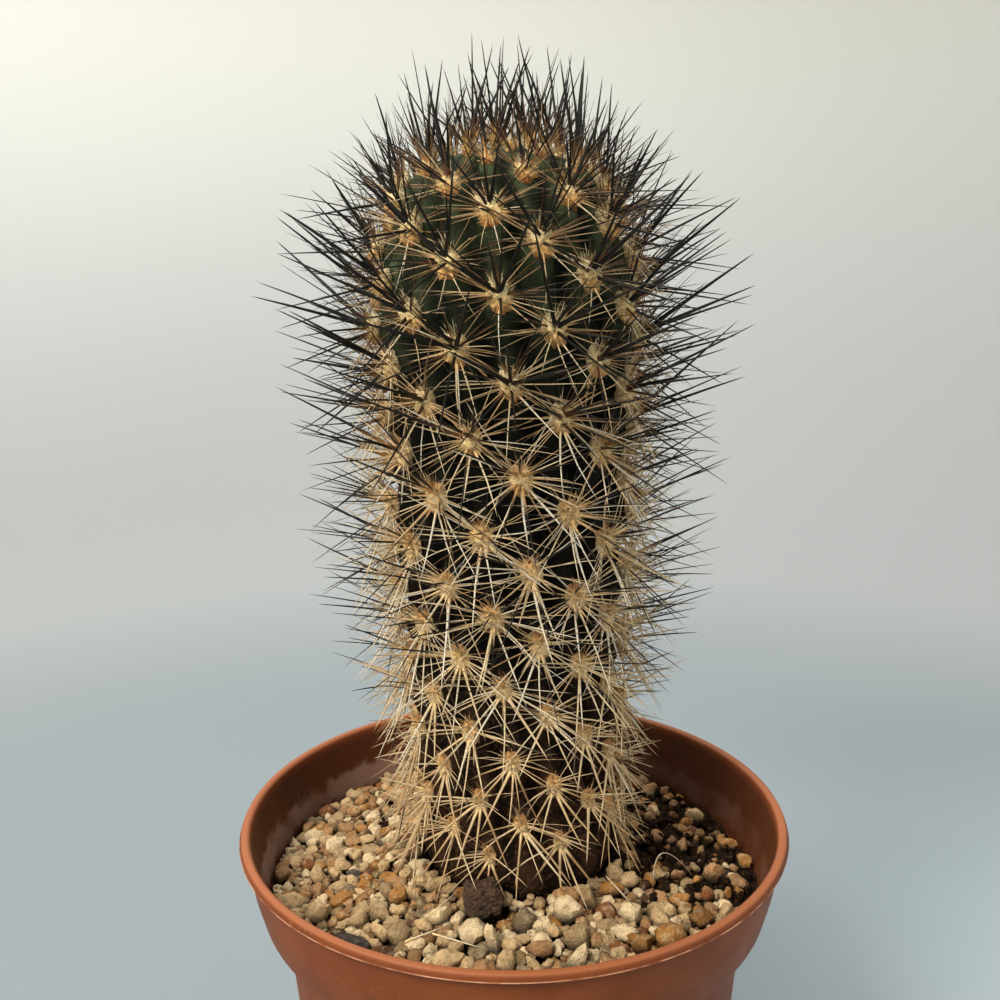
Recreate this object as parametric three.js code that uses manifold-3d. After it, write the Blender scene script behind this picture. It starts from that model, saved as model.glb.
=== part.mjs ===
// A potted column cactus, Neoporteria villosa, in a round plastic nursery pot.
// Millimetres, +Z up, origin at the centre of the pot's underside.

import * as THREE from 'three';
import { mergeVertices } from 'three/addons/utils/BufferGeometryUtils.js';
import Module from 'manifold-3d';

const wasm = await Module();
wasm.setup();

// The pot
const POT_HEIGHT = 92;
const RIM_RADIUS = 52.5;
const BEAD_RADIUS = 1.15;
const WALL = 1.4;
const COLLAR_TOP_RADIUS = 51.1;
const COLLAR_FOOT_RADIUS = 48.8;
const COLLAR_HEIGHT = 14.6;
const BODY_TOP_RADIUS = 44.5;
const BASE_RADIUS = 38;
const STEP_HEIGHT = 5;
const FOOT_HEIGHT = 1.6;
const FOOT_WIDTH = 5;
const FLOOR_THICKNESS = 1.8;
const DRAIN_RADIUS = 3.5;
const DRAIN_COUNT = 6;
const DRAIN_CIRCLE = 21;
const DRAIN_SIDES = 8;
const ROUND_SIDES = 40;

// The potting mix and its pebble dressing
const GAP = 0.35;
const SOIL_TOP = 72;
const BED_WALL_LEVEL = 77.8;
const BED_CENTRE_LEVEL = 84.6;
const BED_SIDES = 16;
const PEBBLE_RINGS = [23, 29.7, 36.3, 42.9];
const PEBBLE_PITCH = 8.7;
const PEBBLE_RADIUS = 3.9;
const CHUNK_CENTRE = new THREE.Vector3(-5.6, -22.6, 86.4);
const CHUNK_RADIUS = 3.5;

// The stem: 18 ribs, and areoles that spiral up it at a fixed step of angle and of row
const RIBS = 18;
const RIB_PHASE = 7 / RIBS;
const RIB_STEP = 13;
const FRONT_ANGLE = -92.16;
const TWIST_PER_ROW = 3.61;
const ROWS_PER_AREOLE = 3;
const CROWN_ROW = -3;
const FOOT_ROW = 7.67;
const RIB_DEPTH = 0.17;
const NOTCH_DEPTH = 2.0;
const CHIN_DEPTH = 0.3;
const APEX_HEIGHT = 215.6;
const AXIS_SHIFT = 0.95;
const AXIS_LEAN = 0.014;

// Ring of areoles, one knot per few rows from the crown to the gravel: [row, radius, height]
const STEM_KNOTS = [
  [-3.2, 3.2, 215.4],
  [-2.4, 10.6, 213.6],
  [-1.5, 17.6, 209.3],
  [0, 23.2, 191.2],
  [1.5, 22.1, 169.7],
  [3, 21.6, 145.7],
  [4.5, 20.3, 126.0],
  [6, 19.6, 105.5],
  [7.7, 18.6, 86.7],
];
// The root crown below the last areoles: [radius, height]
const ROOT_KNOTS = [
  [17.6, 82.6],
  [16.8, 78.4],
  [15.2, 71],
  [9.4, 58],
  [4, 46],
];
const ROOT_TIP = 40;

// The spines
const FIRST_AREOLE = -56;
const LAST_AREOLE = 138;
const SPINE_SIDES = 3;
const SPINE_SINK = 2.6;
const SPINE_CLEARANCE = 0.65;
const SPINE_TRIES = 14;
const SHORTEST_SPINE = 5;
const SPINE_FLOOR = 86;
// How far the spine tips reach from the pot's axis, as [height, radius]: a column with a domed top
const REACH_KNOTS = [
  [86, 28],
  [117, 32],
  [127, 35.5],
  [142, 40],
  [170, 42],
  [190, 45.5],
  [204, 41],
  [213, 33],
  [226, 23],
  [233, 5],
];

// A seeded random number, the same sequence on every build.
function seededRandom(seed) {
  let state = seed >>> 0;
  return () => {
    state = (state + 0x6d2b79f5) >>> 0;
    let t = state;
    t = Math.imul(t ^ (t >>> 15), t | 1);
    t ^= t + Math.imul(t ^ (t >>> 7), t | 61);
    return ((t ^ (t >>> 14)) >>> 0) / 4294967296;
  };
}

function between(random, low, high) {
  return low + (high - low) * random();
}

// A closed three.js geometry as a solid that can be joined and cut.
function solidFrom(geometry) {
  const bare = geometry.clone();
  bare.deleteAttribute('normal');
  bare.deleteAttribute('uv');
  const merged = mergeVertices(bare, 1e-4);
  return new wasm.Manifold(new wasm.Mesh({
    numProp: 3,
    vertProperties: merged.attributes.position.array,
    triVerts: new Uint32Array(merged.index.array),
  }));
}

function geometryFrom(solid) {
  const mesh = solid.getMesh();
  const geometry = new THREE.BufferGeometry();
  geometry.setAttribute('position', new THREE.BufferAttribute(mesh.vertProperties, 3));
  geometry.setIndex(new THREE.BufferAttribute(mesh.triVerts, 1));
  geometry.computeVertexNormals();
  return geometry;
}

// A profile of [radius, height] points turned round +Z; it runs from the axis, out and back to the axis.
function turned(profile, sides) {
  const points = profile.map(([radius, height]) => new THREE.Vector2(radius, height));
  return new THREE.LatheGeometry(points, sides).rotateX(Math.PI / 2);
}

// Linear reading of a column of a knot table at a given key.
function along(knots, key, column) {
  const last = knots.length - 1;
  let i = 0;
  while (i < last - 1 && key > knots[i + 1][0]) i += 1;
  const t = (key - knots[i][0]) / (knots[i + 1][0] - knots[i][0]);
  return knots[i][column] + t * (knots[i + 1][column] - knots[i][column]);
}

// Radius of the pot's outer wall from foot to bead, as [radius, height] points.
function potOuter() {
  const stepTop = POT_HEIGHT - COLLAR_HEIGHT;
  const stepFoot = stepTop - STEP_HEIGHT;
  const step = BODY_TOP_RADIUS;
  const collar = COLLAR_FOOT_RADIUS;
  return [
    [BASE_RADIUS, 1],
    [step, stepFoot],
    [step + 0.5, stepFoot + 1.4],
    [step + 2.1, stepFoot + 2.8],
    [step + 3.8, stepFoot + 3.9],
    [collar, stepTop],
    [collar + 1.4, stepTop + 5.5],
    [COLLAR_TOP_RADIUS, POT_HEIGHT - 2 * BEAD_RADIUS],
  ];
}

// The pot's inner wall: the outer wall carried inwards by the wall's thickness, from rim to floor.
function potInner(extra = 0) {
  const floor = FOOT_HEIGHT + FLOOR_THICKNESS;
  const wall = potOuter().slice(1).reverse();
  const inner = wall.map(([radius, height]) => [radius - WALL - extra, height + 0.5]);
  const floorRadius = BASE_RADIUS - WALL - extra + 0.1;
  return [...inner, [floorRadius, floor + extra]];
}

function pot() {
  const beadHeight = POT_HEIGHT - BEAD_RADIUS;
  const beadCentre = RIM_RADIUS - BEAD_RADIUS;
  const bead = [-40, 0, 45, 90, 140].map((degrees) => {
    const turn = THREE.MathUtils.degToRad(degrees);
    return [beadCentre + BEAD_RADIUS * Math.cos(turn), beadHeight + BEAD_RADIUS * Math.sin(turn)];
  });
  const underside = [
    [0, FOOT_HEIGHT],
    [BASE_RADIUS - FOOT_WIDTH - 1, FOOT_HEIGHT],
    [BASE_RADIUS - FOOT_WIDTH, 0],
    [BASE_RADIUS - 1, 0],
  ];
  const profile = [
    ...underside,
    ...potOuter(),
    ...bead,
    ...potInner(),
    [0, FOOT_HEIGHT + FLOOR_THICKNESS],
  ];
  let solid = solidFrom(turned(profile, ROUND_SIDES));
  const drain = new THREE.CylinderGeometry(DRAIN_RADIUS, DRAIN_RADIUS, 12, DRAIN_SIDES).rotateX(Math.PI / 2);
  solid = solid.subtract(solidFrom(drain));
  for (let i = 0; i < DRAIN_COUNT; i += 1) {
    const turn = (i / DRAIN_COUNT) * 2 * Math.PI;
    const placed = drain.clone().translate(
      DRAIN_CIRCLE * Math.cos(turn), DRAIN_CIRCLE * Math.sin(turn), 0);
    solid = solid.subtract(solidFrom(placed));
  }
  return geometryFrom(solid);
}

// The plain hole that the stem's foot and the root stand in.
function rootHole() {
  const room = 0.5;
  const profile = [[0, ROOT_TIP - room]];
  for (const [radius, height] of [...ROOT_KNOTS].reverse()) profile.push([radius + room, height]);
  const [, footRadius, footHeight] = STEM_KNOTS[STEM_KNOTS.length - 1];
  profile.push([footRadius + room, footHeight], [footRadius + room, POT_HEIGHT], [0, POT_HEIGHT]);
  return solidFrom(turned(profile, ROUND_SIDES).translate(axisAt(ROOT_KNOTS[0][1]), 0, 0));
}

function soil() {
  const wall = potInner(GAP).filter(([, height]) => height < SOIL_TOP);
  const topRadius = BODY_TOP_RADIUS - WALL - GAP;
  const profile = [[0, wall[wall.length - 1][1]], ...wall.reverse(), [topRadius, SOIL_TOP], [0, SOIL_TOP]];
  return geometryFrom(solidFrom(turned(profile, ROUND_SIDES)).subtract(rootHole()));
}

// Height of the gravel bed: a low mound that falls evenly from the middle to the wall.
function bedLevel(radius) {
  return BED_CENTRE_LEVEL + (BED_WALL_LEVEL - BED_CENTRE_LEVEL) * (radius / RIM_RADIUS);
}

// One pebble: a block with a domed, narrower top, pushed out of true and stretched.
function pebble(random, size) {
  const block = new THREE.CylinderGeometry(0.78, 1.1, 1.2, 4, 1).rotateX(Math.PI / 2);
  const stone = mergeVertices(solidReady(block), 1e-4);
  const place = stone.attributes.position;
  for (let i = 0; i < place.count; i += 1) {
    const swell = between(random, 0.86, 1.12);
    const middle = Math.hypot(place.getX(i), place.getY(i)) < 0.1 ? 1.2 : 1;
    place.setXYZ(i, place.getX(i) * swell, place.getY(i) * swell, place.getZ(i) * swell * middle);
  }
  stone.scale(size * between(random, 0.95, 1.2), size * between(random, 0.8, 1), size * 0.85);
  stone.rotateX(between(random, -0.25, 0.25)).rotateY(between(random, -0.25, 0.25));
  stone.rotateZ(between(random, 0, 2 * Math.PI));
  return stone;
}

function solidReady(geometry) {
  geometry.deleteAttribute('normal');
  geometry.deleteAttribute('uv');
  return geometry;
}

// The dark chunk: a broken block whose edges are worn and whose faces are uneven.
function darkChunkShape(size) {
  const random = seededRandom(77);
  const chunk = mergeVertices(solidReady(new THREE.BoxGeometry(2, 2, 2, 2, 2, 2)), 1e-4);
  const place = chunk.attributes.position;
  const point = new THREE.Vector3();
  for (let i = 0; i < place.count; i += 1) {
    point.fromBufferAttribute(place, i);
    const worn = Math.min(1, 1.28 / point.length());
    point.multiplyScalar(worn * between(random, 0.9, 1.04));
    place.setXYZ(i, point.x, point.y, point.z);
  }
  chunk.scale(size * 0.95, size * 0.85, size * 0.95).rotateZ(0.3);
  return chunk.translate(CHUNK_CENTRE.x, CHUNK_CENTRE.y, CHUNK_CENTRE.z);
}

function gravel() {
  const random = seededRandom(5);
  const outer = BODY_TOP_RADIUS - WALL - GAP;
  const bed = [[0, SOIL_TOP], [RIM_RADIUS, SOIL_TOP], [RIM_RADIUS, BED_WALL_LEVEL], [0, BED_CENTRE_LEVEL]];
  const parts = [solidFrom(turned(bed, BED_SIDES))];
  PEBBLE_RINGS.forEach((ring, index) => {
    const count = Math.round((2 * Math.PI * ring) / PEBBLE_PITCH);
    for (let i = 0; i < count; i += 1) {
      const turn = ((i + 0.5 * (index % 2) + between(random, -0.2, 0.2)) / count) * 2 * Math.PI;
      const radius = ring + between(random, -0.9, 0.9);
      const size = PEBBLE_RADIUS * between(random, 0.84, 1.16);
      const height = bedLevel(radius) + size * between(random, 0.02, 0.3);
      parts.push(solidFrom(pebble(random, size).translate(
        radius * Math.cos(turn), radius * Math.sin(turn), height)));
    }
  });
  const room = potInner(GAP).filter(([, height]) => height > SOIL_TOP);
  const lid = [[0, POT_HEIGHT], [room[0][0], POT_HEIGHT]];
  const clear = [...lid, ...room, [outer, SOIL_TOP + GAP], [0, SOIL_TOP + GAP]].reverse();
  return geometryFrom(wasm.Manifold.union(parts)
    .intersect(solidFrom(turned(clear, ROUND_SIDES)))
    .subtract(rootHole())
    .subtract(solidFrom(darkChunkShape(CHUNK_RADIUS + GAP))));
}

// Where the stem's axis stands at a height: it leans a little to one side.
function axisAt(height) {
  return AXIS_SHIFT - AXIS_LEAN * (height - POT_HEIGHT);
}

function stemAngle(rib, row) {
  return THREE.MathUtils.degToRad(FRONT_ANGLE + (360 / RIBS) * rib + TWIST_PER_ROW * row);
}

// Distance of a row from the nearest row that carries an areole on this rib, from -0.5 to 0.5.
function fromAreole(rib, row) {
  const offset = row - rib * RIB_PHASE;
  return offset - Math.round(offset);
}

// Radius of the ribbed surface: the crest swells at each areole, has a chin under it and a notch above it.
function ribbedRadius(rib, row, crest) {
  const radius = along(STEM_KNOTS, row, 1);
  if (!crest) return radius * (1 - RIB_DEPTH);
  const offset = fromAreole(rib, row);
  const scale = Math.min(1, radius / 20);
  if (Math.abs(offset) < 0.1) return radius;
  return radius - scale * (offset > 0 ? CHIN_DEPTH : NOTCH_DEPTH);
}

// The stem is a grid with two columns to a rib, crest and valley, whose rows are moved a little
// on each rib so that a vertex falls on every areole. Rings of the round root crown close it below.
function stem() {
  const columns = RIBS * 2;
  const rows = Math.round((FOOT_ROW - CROWN_ROW) * ROWS_PER_AREOLE) + 1;
  const vertices = [];
  for (let i = 0; i < rows; i += 1) {
    for (let c = 0; c < columns; c += 1) {
      const rib = c / 2;
      const steps = rib * RIB_PHASE * ROWS_PER_AREOLE;
      const shift = (steps - Math.round(steps)) / ROWS_PER_AREOLE;
      const row = CROWN_ROW + i / ROWS_PER_AREOLE + shift;
      const radius = ribbedRadius(rib, row, c % 2 === 0);
      const height = along(STEM_KNOTS, row, 2);
      const turn = stemAngle(rib, row);
      vertices.push(axisAt(height) + radius * Math.cos(turn), radius * Math.sin(turn), height);
    }
  }
  for (const [radius, height] of ROOT_KNOTS) {
    for (let c = 0; c < columns; c += 1) {
      const turn = stemAngle(c / 2, FOOT_ROW);
      vertices.push(axisAt(ROOT_KNOTS[0][1]) + radius * Math.cos(turn), radius * Math.sin(turn), height);
    }
  }
  const rings = rows + ROOT_KNOTS.length;
  const apex = rings * columns;
  vertices.push(axisAt(APEX_HEIGHT), 0, APEX_HEIGHT, axisAt(ROOT_KNOTS[0][1]), 0, ROOT_TIP);
  const faces = [];
  for (let c = 0; c < columns; c += 1) {
    const next = (c + 1) % columns;
    faces.push(apex, c, next);
    for (let i = 0; i + 1 < rings; i += 1) {
      const [a, b] = [i * columns + c, i * columns + next];
      const [d, e] = [a + columns, b + columns];
      if (c % 2) faces.push(a, d, e, a, e, b);
      else faces.push(a, d, b, b, d, e);
    }
    faces.push((rings - 1) * columns + c, apex + 1, (rings - 1) * columns + next);
  }
  const geometry = new THREE.BufferGeometry();
  geometry.setAttribute('position', new THREE.Float32BufferAttribute(vertices, 3));
  geometry.setIndex(faces);
  return geometry;
}

// A point on the crest of a rib.
function crestPoint(rib, row) {
  const radius = along(STEM_KNOTS, row, 1);
  const height = along(STEM_KNOTS, row, 2);
  const turn = stemAngle(rib, row);
  return new THREE.Vector3(
    axisAt(height) + radius * Math.cos(turn), radius * Math.sin(turn), height);
}

// An areole's place and frame: out of the stem, up the rib, and to its right.
function areole(index) {
  const row = index / RIBS;
  const rib = (index * RIB_STEP) % RIBS;
  const place = crestPoint(rib, row);
  const up = crestPoint(rib, row - 0.25).sub(crestPoint(rib, row + 0.25)).normalize();
  const turn = stemAngle(rib, row);
  const right = new THREE.Vector3(-Math.sin(turn), Math.cos(turn), 0);
  const out = new THREE.Vector3().crossVectors(right, up).normalize();
  return { row, place, out, up, right };
}

// The spines of one areole, as [out, up, right, length, thickness, root up, root right]: one or two long
// central ones that point out and up, two combed sideways, and one that points down.
function spineSet(row, index, random) {
  const age = THREE.MathUtils.clamp((row + 1.5) / 9, 0, 1);
  const lift = THREE.MathUtils.lerp(0.62, 0.1, age) * (row < -1 ? 0.3 : 1);
  const central = THREE.MathUtils.lerp(27, 15, age ** 1.2);
  const radial = THREE.MathUtils.lerp(13.5, 11, age);
  const side = index % 2 ? 1 : -1;
  const spines = [
    [0.85, lift, 0.18 * side, central, 0.58, 1, 1.7 * side],
    [0.5, 0.12, 0.85, radial, 0.46, -1.1, 1.25],
    [0.5, 0.12, -0.85, radial, 0.46, -1.1, -1.25],
    [0.62, -0.78, 0.12 * side, radial * 1.05, 0.46, -2.5, 0.75 * side],
    [0.72, lift + 0.25, -0.5 * side, central * 0.82, 0.52, 1, -1.7 * side],
  ];
  const crowded = row < -1.9;
  const full = index % 2 ? spines : spines.slice(0, 4);
  const kept = crowded ? [spines[0], spines[3], spines[4]] : full;
  return kept.map(([out, up, right, length, ...root]) => [
    out, up + between(random, -0.1, 0.1), right + between(random, -0.08, 0.08),
    length * between(random, 0.9, 1.1) * (crowded ? 0.85 : 1), ...root,
  ]);
}

function isWithinReach(point) {
  const [top] = REACH_KNOTS[REACH_KNOTS.length - 1];
  const radius = Math.hypot(point.x, point.y);
  return point.z > SPINE_FLOOR && point.z < top && radius < along(REACH_KNOTS, point.z, 1);
}

// Shortens a spine to the room that it has: inside the reach, and above the gravel and the pot.
function fitted(root, direction, length) {
  const tip = new THREE.Vector3();
  for (let reach = length; reach > SHORTEST_SPINE; reach -= 0.5) {
    tip.copy(root).addScaledVector(direction, reach);
    if (isWithinReach(tip)) return new THREE.Line3(root.clone(), tip);
  }
  return null;
}

function isClear(line, others) {
  const near = new THREE.Vector3();
  line.closestPointToPoint(CHUNK_CENTRE, true, near);
  if (near.distanceTo(CHUNK_CENTRE) < CHUNK_RADIUS + 1.2) return false;
  return others.every((other) => line.distanceSqToLine3(other) > SPINE_CLEARANCE ** 2);
}

// Places every spine as a line from its root; one that would cross another is turned a little and tried again.
function spineLines() {
  const random = seededRandom(11);
  const spines = [];
  for (let index = FIRST_AREOLE; index <= LAST_AREOLE; index += 1) {
    const { row, place, out, up, right } = areole(index);
    const own = [];
    const flank = (RIBS * RIB_DEPTH) / Math.PI;
    const spread = Math.min(1, along(STEM_KNOTS, row, 1) / 20);
    for (const [o, u, r, length, thickness, rootUp, rootRight] of spineSet(row, index, random)) {
      const root = place.clone()
        .addScaledVector(right, rootRight * spread)
        .addScaledVector(up, rootUp * spread)
        .addScaledVector(out, -Math.abs(rootRight) * spread * flank);
      for (let turn = 0; turn < SPINE_TRIES; turn += 1) {
        const stray = 0.035 * turn;
        const direction = new THREE.Vector3()
          .addScaledVector(out, o)
          .addScaledVector(up, u + between(random, -stray, stray))
          .addScaledVector(right, r + between(random, -stray, stray))
          .normalize();
        const line = fitted(root, direction, length);
        if (line && isClear(line, spines.map((spine) => spine.line))) {
          own.push({ line, direction, thickness });
          break;
        }
      }
    }
    spines.push(...own);
  }
  return spines;
}

// A spine: a three-sided needle from well inside the stem to its tip.
function needle({ line, direction, thickness }) {
  const length = line.distance() + SPINE_SINK;
  const cone = new THREE.ConeGeometry(thickness, length, SPINE_SIDES, 1);
  cone.translate(0, length / 2 - SPINE_SINK, 0);
  const stand = new THREE.Quaternion().setFromUnitVectors(new THREE.Vector3(0, 1, 0), direction);
  return cone.applyQuaternion(stand).translate(line.start.x, line.start.y, line.start.z);
}

function cactus() {
  const parts = [solidFrom(stem()), ...spineLines().map((spine) => solidFrom(needle(spine)))];
  return geometryFrom(wasm.Manifold.union(parts));
}

function piece(name, geometry, colour, roughness) {
  const mesh = new THREE.Mesh(geometry, new THREE.MeshStandardMaterial({ color: colour, roughness, metalness: 0 }));
  mesh.name = name;
  return mesh;
}

const plant = new THREE.Group();
plant.add(piece('pot', pot(), 0x9c4f31, 0.5));
plant.add(piece('soil', soil(), 0x2b211b, 0.95));
plant.add(piece('gravel', gravel(), 0xc2a27c, 0.8));
plant.add(piece('dark_chunk', solidReady(darkChunkShape(CHUNK_RADIUS)), 0x3a2a26, 0.9));
plant.add(piece('cactus', cactus(), 0x3c4a2e, 0.6));

export default plant;
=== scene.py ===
"""A potted column cactus, Neoporteria villosa: its finished surfaces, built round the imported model.

The mesh code works in millimetres in the part's own frame: +Z up, origin at the centre of the pot's
underside. add_mesh turns the points into metres. Every random draw is seeded.
"""

import math
from collections import namedtuple

import bpy
import numpy as np
from bpy.props import FloatProperty, FloatVectorProperty, IntProperty, PointerProperty
from mathutils import Matrix, Vector


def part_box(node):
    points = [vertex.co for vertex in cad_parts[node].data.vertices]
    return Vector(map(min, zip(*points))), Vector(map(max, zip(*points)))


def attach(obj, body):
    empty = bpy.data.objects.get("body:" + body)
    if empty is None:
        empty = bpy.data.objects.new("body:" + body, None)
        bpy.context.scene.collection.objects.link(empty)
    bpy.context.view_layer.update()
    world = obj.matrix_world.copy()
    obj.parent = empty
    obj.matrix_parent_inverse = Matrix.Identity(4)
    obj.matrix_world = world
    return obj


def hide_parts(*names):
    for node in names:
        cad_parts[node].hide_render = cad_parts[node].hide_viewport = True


bl_info = {
    "name": "Potted column cactus",
    "version": (1, 0, 0),
    "blender": (4, 5, 0),
    "location": "3D View > Sidebar > Cactus",
    "description": "Builds a potted column cactus with its pot, gravel, areoles and spines",
    "category": "Object",
}

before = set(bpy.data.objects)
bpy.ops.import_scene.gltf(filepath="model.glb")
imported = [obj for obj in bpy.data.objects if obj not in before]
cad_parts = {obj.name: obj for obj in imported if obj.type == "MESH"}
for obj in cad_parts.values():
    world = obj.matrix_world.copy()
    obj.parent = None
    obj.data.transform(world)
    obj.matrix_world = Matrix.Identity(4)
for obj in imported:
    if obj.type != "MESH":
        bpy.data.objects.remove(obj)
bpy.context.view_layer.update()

MM = 0.001

# The pot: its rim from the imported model, its foot and floor, and the lip that runs round under the rim
_, POT_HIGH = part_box("pot")
POT_TOP = POT_HIGH.z / MM
RIM_RADIUS = POT_HIGH.x / MM
FOOT_RADIUS = 38
FOOT_WIDTH = 5.0
FOOT_HEIGHT = 1.6
FLOOR_LEVEL = 3.4
LIP_DROP = 1.3
DRAIN_HOLES = 6
DRAIN_CIRCLE_RADIUS = 21
POT_SHARP_ANGLE = math.radians(50)

# The bed of gravel: its level in the middle and at the wall, the ring that it fills, and the stones heaped up
# round the foot of the stem, as a bell curve over the radius
BED_CENTRE_LEVEL = 84.6
BED_WALL_LEVEL = 77.8
BED_INNER_RADIUS = 19.2
BED_OUTER_RADIUS = 47.0
HEAP_HEIGHT = 1.9
HEAP_RADIUS = 18.5
HEAP_WIDTH = 3.4
STONE_SHARP_ANGLE = math.radians(42)
CHUNK_CENTRE = (-5.6, -22.6, 86.2)
CHUNK_RADIUS = 3.55

# Where soil shows, as bell curves over the angle round the pot: strength, middle and width. The first patch
# is at the right and the second at the back.
BARE_PATCHES = ((1.25, 0.22, 0.62), (0.5, 1.7, 0.9))

# The stem. Along a rib the areoles are one row apart, and rows are counted down from the crown. The areoles
# spiral down the stem: each is RIB_STEP ribs from the one before and 1 / RIBS of a row lower, so that from
# one rib to the next the rows shift by RIB_PHASE. The ribs turn by TWIST_PER_ROW, and the axis leans. The
# knots below give the stem's radius and height over the row.
RIBS = 18
RIB_PHASE = 7 / RIBS
RIB_STEP = 13
FRONT_ANGLE = math.radians(-92.16)
TWIST_PER_ROW = math.radians(3.61)
FIRST_AREOLE = -56
LAST_AREOLE = 131
FOOT_ROW = 7.67
TOP_ROW = -3.55
CROWN_ROWS = (-0.9, -2.3)
STEM_FOOT_X = 1.0
AXIS_SHIFT = 0.95
AXIS_LEAN = 0.014
STEM_ROWS = (-3.6, -3.2, -2.4, -1.5, 0, 1.5, 3, 4.5, 6, 7.7)
STEM_RADII = (0.0, 3.2, 10.6, 17.6, 23.2, 22.1, 21.6, 20.3, 19.6, 18.6)
STEM_HEIGHTS = (215.6, 215.4, 213.6, 209.3, 191.2, 169.7, 145.7, 126.0, 105.5, 86.7)
ROOT_RADII = (4, 9.4, 15.2, 16.8, 17.6)
ROOT_HEIGHTS = (46, 58, 71, 78.4, 82.6)
ROOT_TIP = 40

# How far from the pot's axis the tips of the spines may lie, over their height: the plant's outline
REACH_HEIGHTS = (84, 106, 117, 127, 142, 155, 170, 190, 204, 213, 219, 226, 229.5, 232, 235)
REACH_RADII = (27.5, 28, 31.5, 35, 39.5, 41.5, 41.5, 46, 43.5, 34.5, 28, 22.5, 18, 12, 4)


def srgb(red, green, blue):
    """A screen colour of three values up to 255 as linear light, with full opacity."""
    values = np.array([red, green, blue]) / 255
    linear = np.where(values <= 0.04045, values / 12.92, ((values + 0.055) / 1.055) ** 2.4)
    return (*(float(value) for value in linear), 1.0)


# Pebble colours: cream, warm white, tan, ochre, rust, grey, olive, brown, slate
CREAM, WHITE, TAN, OCHRE, RUST, GREY, OLIVE, BROWN, SLATE = range(9)
PEBBLE_COLOURS = (
    srgb(230, 194, 142), srgb(250, 224, 178), srgb(200, 152, 102), srgb(202, 142, 72), srgb(158, 98, 54),
    srgb(170, 146, 112), srgb(154, 130, 88), srgb(104, 72, 44), srgb(84, 78, 74),
)

# Share of each of these colours among the stones of the bed, and among those where soil shows: browner and
# darker there, partly for the soil and partly as painted shade
BED_SHARES = (0.37, 0.18, 0.22, 0.08, 0.03, 0.04, 0.04, 0.03, 0.01)
BARE_AND_SHADED_SHARES = (0.12, 0.03, 0.3, 0.26, 0.15, 0.02, 0.02, 0.09, 0.01)

# Single stones that stand out: x, y, half length, half width, half height, turn and tilt in degrees, colour
LANDMARK_STONES = (
    (-7.6, -27.6, 3.3, 2.1, 2.5, 60, 38, WHITE),
    (-3.7, -30.2, 1.3, 1.4, 3.2, 10, -12, WHITE),
    (9.6, -22.4, 2.7, 2.4, 2.6, 20, 20, WHITE),
    (20.4, -21.6, 2.5, 1.7, 2.4, -50, -25, WHITE),
    (26.8, -27.2, 3.2, 2.5, 2.2, 15, 10, OCHRE),
    (21.6, -28.8, 2.8, 2.0, 1.9, 160, 0, OCHRE),
    (10.9, -28.6, 2.9, 2.2, 2.1, 10, 15, CREAM),
    (10.2, -34.2, 1.7, 1.4, 2.8, 100, 30, WHITE),
    (8.7, -21.2, 1.3, 1.2, 3.0, 0, 5, TAN),
    (13.4, -19.6, 1.5, 1.3, 2.8, 30, -8, CREAM),
    (17.9, -15.4, 2.4, 1.5, 1.6, 15, 0, OCHRE),
    (-41.2, -15.2, 3.2, 2.4, 2.3, 25, 20, CREAM),
    (-35.6, -18.4, 2.4, 2.0, 2.2, 80, 35, CREAM),
    (-28.8, -28.0, 3.6, 1.9, 1.5, -12, 0, SLATE),
    (1.6, -25.4, 2.2, 1.9, 2.4, 40, 10, GREY),
    (-20.6, -27.0, 2.4, 1.9, 2.3, 130, 30, CREAM),
    (-13.4, -22.6, 2.9, 1.7, 1.8, 20, 15, WHITE),
    (-24.4, -20.4, 3.1, 1.6, 1.7, 120, 20, CREAM),
    (33.4, -21.4, 2.8, 1.8, 1.8, 60, 10, OCHRE),
    (38.6, -6.4, 2.2, 1.8, 1.7, 20, 0, TAN),
    (-1.6, -34.8, 2.1, 1.6, 1.9, 70, 20, CREAM),
    (4.4, -31.6, 2.3, 1.5, 1.8, -20, 30, TAN),
)


def smooth_read(key, keys, values):
    """A smooth curve through knots: between two knots a cubic, whose slope at a knot is a weighted mean of
    the slopes of the chords on either side of it."""
    keys, values = np.asarray(keys, float), np.asarray(values, float)
    slopes = np.gradient(values, keys)
    at = np.clip(np.searchsorted(keys, key) - 1, 0, len(keys) - 2)
    span = keys[at + 1] - keys[at]
    t = np.clip((key - keys[at]) / span, 0, 1)
    ease = t * t * (3 - 2 * t)
    leave = t * (1 - t) ** 2 * span * slopes[at]
    arrive = t * t * (t - 1) * span * slopes[at + 1]
    return values[at] * (1 - ease) + values[at + 1] * ease + leave + arrive


def smooth_step(low, high, value):
    """0 up to low, 1 from high on, and an eased rise between. With low above high it falls instead."""
    t = np.clip((value - low) / (high - low), 0, 1)
    return t * t * (3 - 2 * t)


def bell(value, middle, width):
    """1 at the middle, falling away on both sides."""
    return np.exp(-((value - middle) / width) ** 2)


def round_angles(count):
    """Angles of a full turn at even steps."""
    return np.arange(count) * 2 * np.pi / count


def spun(radius, height, turn):
    """Points at a radius from the +Z axis, at a height and at an angle round it."""
    return np.stack(np.broadcast_arrays(radius * np.cos(turn), radius * np.sin(turn), height), -1)


def turned(first, second, angle):
    """Two coordinates after a turn of their plane by an angle."""
    cosine, sine = np.cos(angle), np.sin(angle)
    return first * cosine - second * sine, first * sine + second * cosine


def unit(vectors):
    """Vectors scaled to length 1."""
    return vectors / np.linalg.norm(vectors, axis=-1, keepdims=True)


def ripple(points, wavelength, seed, waves=12):
    """An uneven value of about -1 to 1: the sum of sine waves that run in random directions."""
    draw = np.random.default_rng(seed)
    heading = draw.normal(size=(3, waves))
    heading *= 2 * np.pi / (wavelength * np.linalg.norm(heading, axis=0)) * draw.uniform(0.7, 1.5, waves)
    phase = draw.uniform(0, 2 * np.pi, waves)
    return np.sin(points @ heading + phase).sum(-1) / math.sqrt(waves)


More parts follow.
